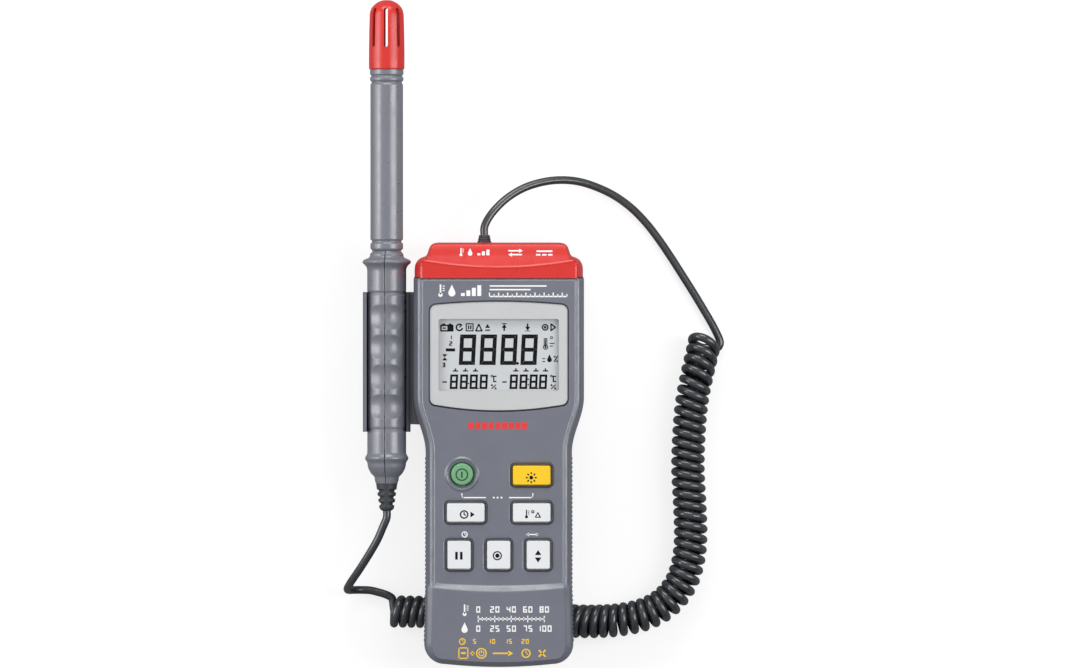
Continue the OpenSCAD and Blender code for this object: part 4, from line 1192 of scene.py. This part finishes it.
marks = Print(KEY_TOP_Z)
marks.plates([[15.9, -85.2], [18.7, -85.2], [17.3, -83.0]], [[18.7, -86.3], [15.9, -86.3], [17.3, -88.5]])
marks.on_key("max_min", DARK_INK)

# A row of plain red blocks under the display
marks = Print(PANEL_Z)
marks.plates(*[rounded(-12.2 + 2.95 * k, -28.4, 2.3, 2.9, 0.3, 3) for k in range(9)])
marks.done("red_blocks", RED_INK, "red_plastic")

# Marks for the three sockets, lifted onto the slope of the end cap
marks = Print(0.0, 0.04)
marks.thermometer(-16.6, 46.1, 3.7)
marks.drop(-12.6, 46.3, 3.3)
for k in range(3):
    marks.boxes((-9.4 + 2.0 * k, 46.5, -8.1 + 2.0 * k, 47.4 + 0.8 * k))
    marks.boxes((16.4 + 2.65 * k, 46.4, 18.3 + 2.65 * k, 47.05))
marks.line(4.2, 48.5, 9.4, 48.5, 0.6)
marks.line(10.2, 46.8, 5.4, 46.8, 0.6)
marks.line(16.6, 48.3, 23.6, 48.3, 0.7)
marks.plates([[10.6, 48.5], [9.0, 49.4], [9.0, 47.6]], [[4.2, 46.8], [5.8, 47.7], [5.8, 45.9]])
slope = cap_height(6.0)
for point in marks.shape.points:
    point[2] += slope(*point[:2])
marks.done("cap_marks", WHITE_INK, "silver_print")


# Probe handle in two halves, with the seam and the finger scallops

HANDLE_LINE = [
    [6.3, 48.45], [6.5, 48.3], [6.55, 48.0], [6.8, 47.7], [7.15, 47.45], [7.32, 47.1], [7.34, 46.7],
    [7.4, 46.3], [7.6, 45.85], [8.0, 45.4], [9.1, 45.0], [10.1, 44.55], [10.5, 44.15], [10.68, 43.7],
    [10.6, 43.25], [10.2, 42.8], [9.7, 42.35], [9.3, 41.9], [8.97, 41.45], [8.8, 41.0], [8.68, 40.5],
    [8.6, 39.9], [8.6, 37], [8.6, 34], [8.6, 31.2], [8.56, 30.6], [8.3, 30.3], [8.2, 30.0], [8.22, 29.6],
    [8.4, 29.3], [8.5, 28.7], [8.5, 24], [8.5, 18], [8.5, 12], [8.5, 6], [8.5, 0], [8.5, -6], [8.5, -12],
    [8.5, -18], [8.5, -24], [8.5, -28.8], [8.4, -29.6], [8.2, -29.95], [8.2, -30.4], [8.42, -30.8],
    [8.55, -31.6], [8.55, -35], [8.55, -39.8], [8.6, -40.8], [8.95, -41.5], [9.35, -42.1], [9.58, -42.7],
    [9.45, -43.3], [9.1, -43.9], [8.75, -44.4], [8.5, -45.0], [8.36, -46.3], [8.15, -47.2], [7.7, -48.1],
    [7.26, -49.0], [6.6, -49.9], [5.75, -50.7], [5.4, -51.2], [5.3, -51.7], [5.25, -52.5], [4.95, -53.3],
    [4.85, -53.9], [4.6, -54.0], [3.8, -54.0],
]
SEAM = -5.4
SCALLOPS = (19.4, 6.2, -7.0, -20.1)


def scallop_depth(y, degrees):
    for middle in SCALLOPS:
        q = ((y - middle) / 5.4) ** 2 + ((degrees + 1.0) / 58.0) ** 4
        if q < 1.0:
            return 1.1 * (1.0 - q)
    return 0.0


handle_line = []
for (r0, y0), (r1, y1) in zip(HANDLE_LINE, HANDLE_LINE[1:]):
    count = max(int(abs(y1 - y0) / 0.45), 1)
    handle_line += [[mix(r0, r1, k / count), mix(y0, y1, k / count)] for k in range(count)]
handle_line.append(HANDLE_LINE[-1])


def around(r, y, degrees):
    """A point at this radius and turn about the probe's axis."""
    a = math.radians(degrees)
    return [PROBE_X + r * math.sin(a), y, PROBE_Z + r * math.cos(a)]


def handle_half(turn):
    """One half of the handle, whose surface falls off towards the seam."""
    seam_steps = [0.35, 0.9, 1.8, 3.2]
    seam_falls = [1.1, 0.34, 0.1, 0.0]
    turns = seam_steps + steps(6.0, 174.0, 56) + [180.0 - s for s in reversed(seam_steps)]
    falls = seam_falls + [0.0] * 57 + seam_falls[::-1]
    rows = []
    for r, y in handle_line:
        degrees = [SEAM + turn * t for t in turns]
        rows.append([around(r - fall - scallop_depth(y, d), y, d) for d, fall in zip(degrees, falls)])
    return Shape().rows(rows)


for hand, turn in (("left", -1), ("right", 1)):
    piece(
        f"handle_shell_{hand}", handle_half(turn), PROBE_GREY, "probe",
        replaces=[f"handle_{hand}"], angle=50,
    )


# Bodies turned about the probe's axis


def turned(line, count, radius_at=lambda r, y, degrees: r):
    """A body turned about the probe's axis, from points [radius, y]."""
    turns = [360.0 * k / count for k in range(count)]
    return Shape().rows([[around(radius_at(r, y, d), y, d) for d in turns] for r, y in line], closed=True)


# Long tube with its rings

TUBE_LINE = [
    [5.3, 48.5], [6.3, 48.55], [6.5, 48.7], [6.6, 48.95], [6.85, 49.2], [7.1, 49.35], [7.2, 49.6],
    [7.2, 51.5], [7.12, 51.8], [6.85, 52.0], [6.6, 52.2], [6.5, 52.5], [6.5, 52.8], [6.62, 53.1],
    [6.88, 53.3], [7.12, 53.5], [7.2, 53.8], [7.2, 60.0], [7.2, 90.0], [7.2, 121.6], [7.12, 121.95],
    [6.88, 122.2], [6.7, 122.5], [6.7, 122.9], [6.85, 123.2], [7.15, 123.4], [7.35, 123.65], [7.38, 124.0],
    [7.38, 124.7], [7.3, 125.0], [7.0, 125.2], [6.85, 125.45], [6.85, 125.7], [7.0, 126.0], [7.3, 126.2],
    [7.4, 126.5], [7.4, 128.35], [6.3, 128.4], [6.3, 132.0], [5.6, 132.0], [5.6, 56.0], [5.3, 50.0],
    [5.3, 48.5],
]
piece("tube", turned(TUBE_LINE, 96), PROBE_GREY, "probe", replaces=["stem_tube"], angle=60)


# Slotted guard over the sensors

GUARD_LINE = [
    [6.4, 128.5], [7.6, 128.52], [7.78, 128.7], [7.82, 129.1], [7.85, 131.0], [7.84, 135.0], [7.82, 139.0],
    [7.72, 145.0], [7.6, 150.0], [7.53, 152.2], [7.43, 153.4], [7.25, 154.4], [6.95, 155.2], [6.55, 155.9],
    [6.0, 156.55], [5.4, 157.15], [4.7, 157.7], [3.9, 158.2], [3.0, 158.6], [2.0, 158.88], [1.0, 159.02],
    [0.01, 159.06], [0.01, 157.5], [1.6, 157.4], [3.0, 157.0], [4.4, 156.2], [5.5, 155.2], [6.1, 153.8],
    [6.35, 152.0], [6.4, 146.0], [6.4, 128.5],
]
SLOT_TURNS = [45.0 * k - 2.3 for k in range(8)]
SLOT_HALF = 0.85
SLOT_LOW = 138.2
SLOT_HIGH = 155.5


def guard_radius(r, y, degrees):
    """A shallow groove runs on over the dome above each slot."""
    if r < 2.0 or y < 150.0:
        return r
    offs = [(degrees - s + 180.0) % 360.0 - 180.0 for s in SLOT_TURNS]
    groove = max(math.exp(-((off * r / 50.0) ** 2)) for off in offs)
    return r - 0.4 * groove * smooth((y - 153.0) / 2.0) * smooth((r - 2.0) / 2.0)


def slot_cut(degrees):
    """A cutter with round ends, turned about the probe's axis."""
    outline = arc(0.0, SLOT_HIGH - SLOT_HALF, SLOT_HALF, 0, 180, 8)
    outline += arc(0.0, SLOT_LOW + SLOT_HALF, SLOT_HALF, 180, 360, 8)
    shape = Shape().plate(outline, 3.5, 9.5)
    a = math.radians(degrees)
    for point in shape.points:
        x, y, z = point
        point[0] = PROBE_X + x * math.cos(a) + z * math.sin(a)
        point[2] = PROBE_Z - x * math.sin(a) + z * math.cos(a)
    return shape


piece(
    "guard", turned(GUARD_LINE, 120, guard_radius), RED, "probe", replaces=["sensor_guard"],
    cuts=[slot_cut(degrees) for degrees in SLOT_TURNS], angle=50,
)


# Boot under the handle, with broken ribs


def boot_radius(y):
    return mix(4.7, 3.2, (-54.0 - y) / 11.0)


def boot_surface(r, y, degrees):
    grooves = max(math.exp(-(((y - g) / 0.62) ** 4)) for g in (-57.3, -60.1, -62.9))
    across = min(degrees % 180.0, 180.0 - degrees % 180.0)
    return r - 0.85 * grooves * smooth((across - 14.0) / 12.0)


boot_line = [[3.2, -53.6], [4.4, -53.7], [4.75, -54.0]]
boot_line += [[boot_radius(y), y] for y in steps(-54.2, -64.4, 60)]
boot_line += [[3.15, -64.9], [2.8, -65.4], [2.2, -65.9], [1.6, -66.1]]
boot = turned(boot_line, 72, boot_surface)
piece("boot", boot, RUBBER, "probe", replaces=["strain_relief"], angle=50)


# Plug: the body in the end cap and its tapered sleeve

SLEEVE_LINE = [
    (0.5, 43.8), (4.6, 43.8), (4.6, CAP_TOP_Y - 0.6), (3.15, CAP_TOP_Y - 0.55), (3.1, 52.6), (2.95, 53.0),
    (2.7, 53.1), (2.7, 53.4), (2.85, 53.6), (2.65, 54.2), (2.45, 54.3), (2.45, 54.6), (2.6, 54.8),
    (2.35, 55.4), (2.1, 55.6), (1.5, 55.62),
]
sleeve = bar_along_y(SENSOR_X, SOCKET_Z, SLEEVE_LINE)
piece("plug_sleeve", sleeve, RUBBER, "plug", replaces=["plug_body"], angle=40)


# Materials of the solids that stay

KEPT = {
    "lcd_panel": LCD, "lcd_frame": WHITE_PLASTIC, "backlight_panel": WHITE_PLASTIC, "zebra_strips": RUBBER,
    "main_board": BOARD, "board_components": BLACK, "tact_switches": BLACK, "keypad_mat": RUBBER,
    "battery_9v": BATTERY, "battery_snap": BLACK, "battery_leads": CORD, "battery_door": GREY,
    "rear_screws": STEEL, "sensor_socket": BLACK, "data_jack": BLACK, "dc_jack": BLACK, "socket_board": BOARD,
    "probe_holder": CLIP_GREY, "holder_screws": STEEL, "sensor_board": BOARD,
    "humidity_sensor": WHITE_PLASTIC, "temperature_sensor": STEEL, "inner_cable": CORD, "plug_shell": STEEL,
    "plug_pins": BRASS,
}
for node, material in KEPT.items():
    mesh = NODES[node].data
    mesh.materials.clear()
    mesh.materials.append(material)


# Floor, world and lights

FLOOR_HALF = 3000
FLOOR_Z = -0.05
FLOOR_GLOW = 0.76
WHITE = (1.0, 1.0, 1.0, 1.0)

floor_shape = Shape().rows([
    [[x, y, FLOOR_Z] for x in (-FLOOR_HALF, FLOOR_HALF)] for y in (-FLOOR_HALF, FLOOR_HALF)
])
floor = link("floor", mesh_of(floor_shape, "floor"))
floor_material = bpy.data.materials.new("floor_pale")
floor_material.use_nodes = True
tree = floor_material.node_tree
floor_shader = feed(
    tree.nodes["Principled BSDF"], Base_Color=(0.30, 0.30, 0.30, 1.0), Roughness=0.9, Specular_IOR_Level=0.1,
)
# The floor glows for the camera and through the pane alone, so that it looks white and still takes a shadow
rays = add_node(tree, "LightPath")
seen = add_node(tree, "Math")
seen.operation = "MAXIMUM"
tree.links.new(rays.outputs["Is Camera Ray"], seen.inputs[0])
tree.links.new(rays.outputs["Is Transmission Ray"], seen.inputs[1])
strength = add_node(tree, "Math")
strength.operation = "MULTIPLY"
strength.inputs[1].default_value = FLOOR_GLOW
tree.links.new(seen.outputs[0], strength.inputs[0])
glow = add_node(tree, "Emission", Color=WHITE, Strength=strength.outputs[0])
both = add_node(tree, "AddShader")
tree.links.new(floor_shader.outputs["BSDF"], both.inputs[0])
tree.links.new(glow.outputs["Emission"], both.inputs[1])
feed(tree.nodes["Material Output"], Surface=both.outputs["Shader"])
floor.data.materials.append(floor_material)

# A sky that is white for the camera, and brighter towards the upper left for the rest
world = bpy.data.worlds.new("world")
world.use_nodes = True
bpy.context.scene.world = world
tree = world.node_tree
rays = add_node(tree, "LightPath")
sky_side = add_node(tree, "VectorMath")
sky_side.operation = "DOT_PRODUCT"
sky_side.inputs[1].default_value = (-0.66, 0.35, 0.66)
tree.links.new(add_node(tree, "TexCoord").outputs["Generated"], sky_side.inputs[0])
sky = add_node(
    tree, "MapRange", Value=sky_side.outputs["Value"], From_Min=-0.6, From_Max=1.0, To_Min=0.05, To_Max=0.54,
)
level = add_node(tree, "Mix", Factor=rays.outputs["Is Camera Ray"], A=sky.outputs["Result"], B=1.0)
feed(tree.nodes["Background"], Color=WHITE, Strength=level.outputs["Result"])

bpy.context.scene.view_settings.view_transform = "Standard"


def area_light(name, place, target, width, height, power):
    data = bpy.data.lights.new(name, "AREA")
    data.shape = "RECTANGLE"
    data.size = width
    data.size_y = height
    data.energy = power
    lamp = bpy.data.objects.new(name, data)
    lamp.location = place
    lamp.rotation_euler = (Vector(target) - Vector(place)).to_track_quat("-Z", "Y").to_euler()
    lamp.visible_camera = False
    bpy.context.scene.collection.objects.link(lamp)


area_light("left_strip", (-0.95, 0.1, 0.36), (-0.02, -0.02, 0.02), 0.5, 0.8, 2.2)
area_light("right_strip", (0.80, 0.05, 0.74), (0.02, -0.02, 0.02), 0.5, 0.8, 6.3)
area_light("far_strip", (0.0, 1.1, 0.60), (0.0, 0.0, 0.0), 0.9, 0.46, 7.2)
area_light("key", (-1.15, 0.2, 0.78), (0.0, 0.0, 0.0), 0.8, 0.5, 4.7)
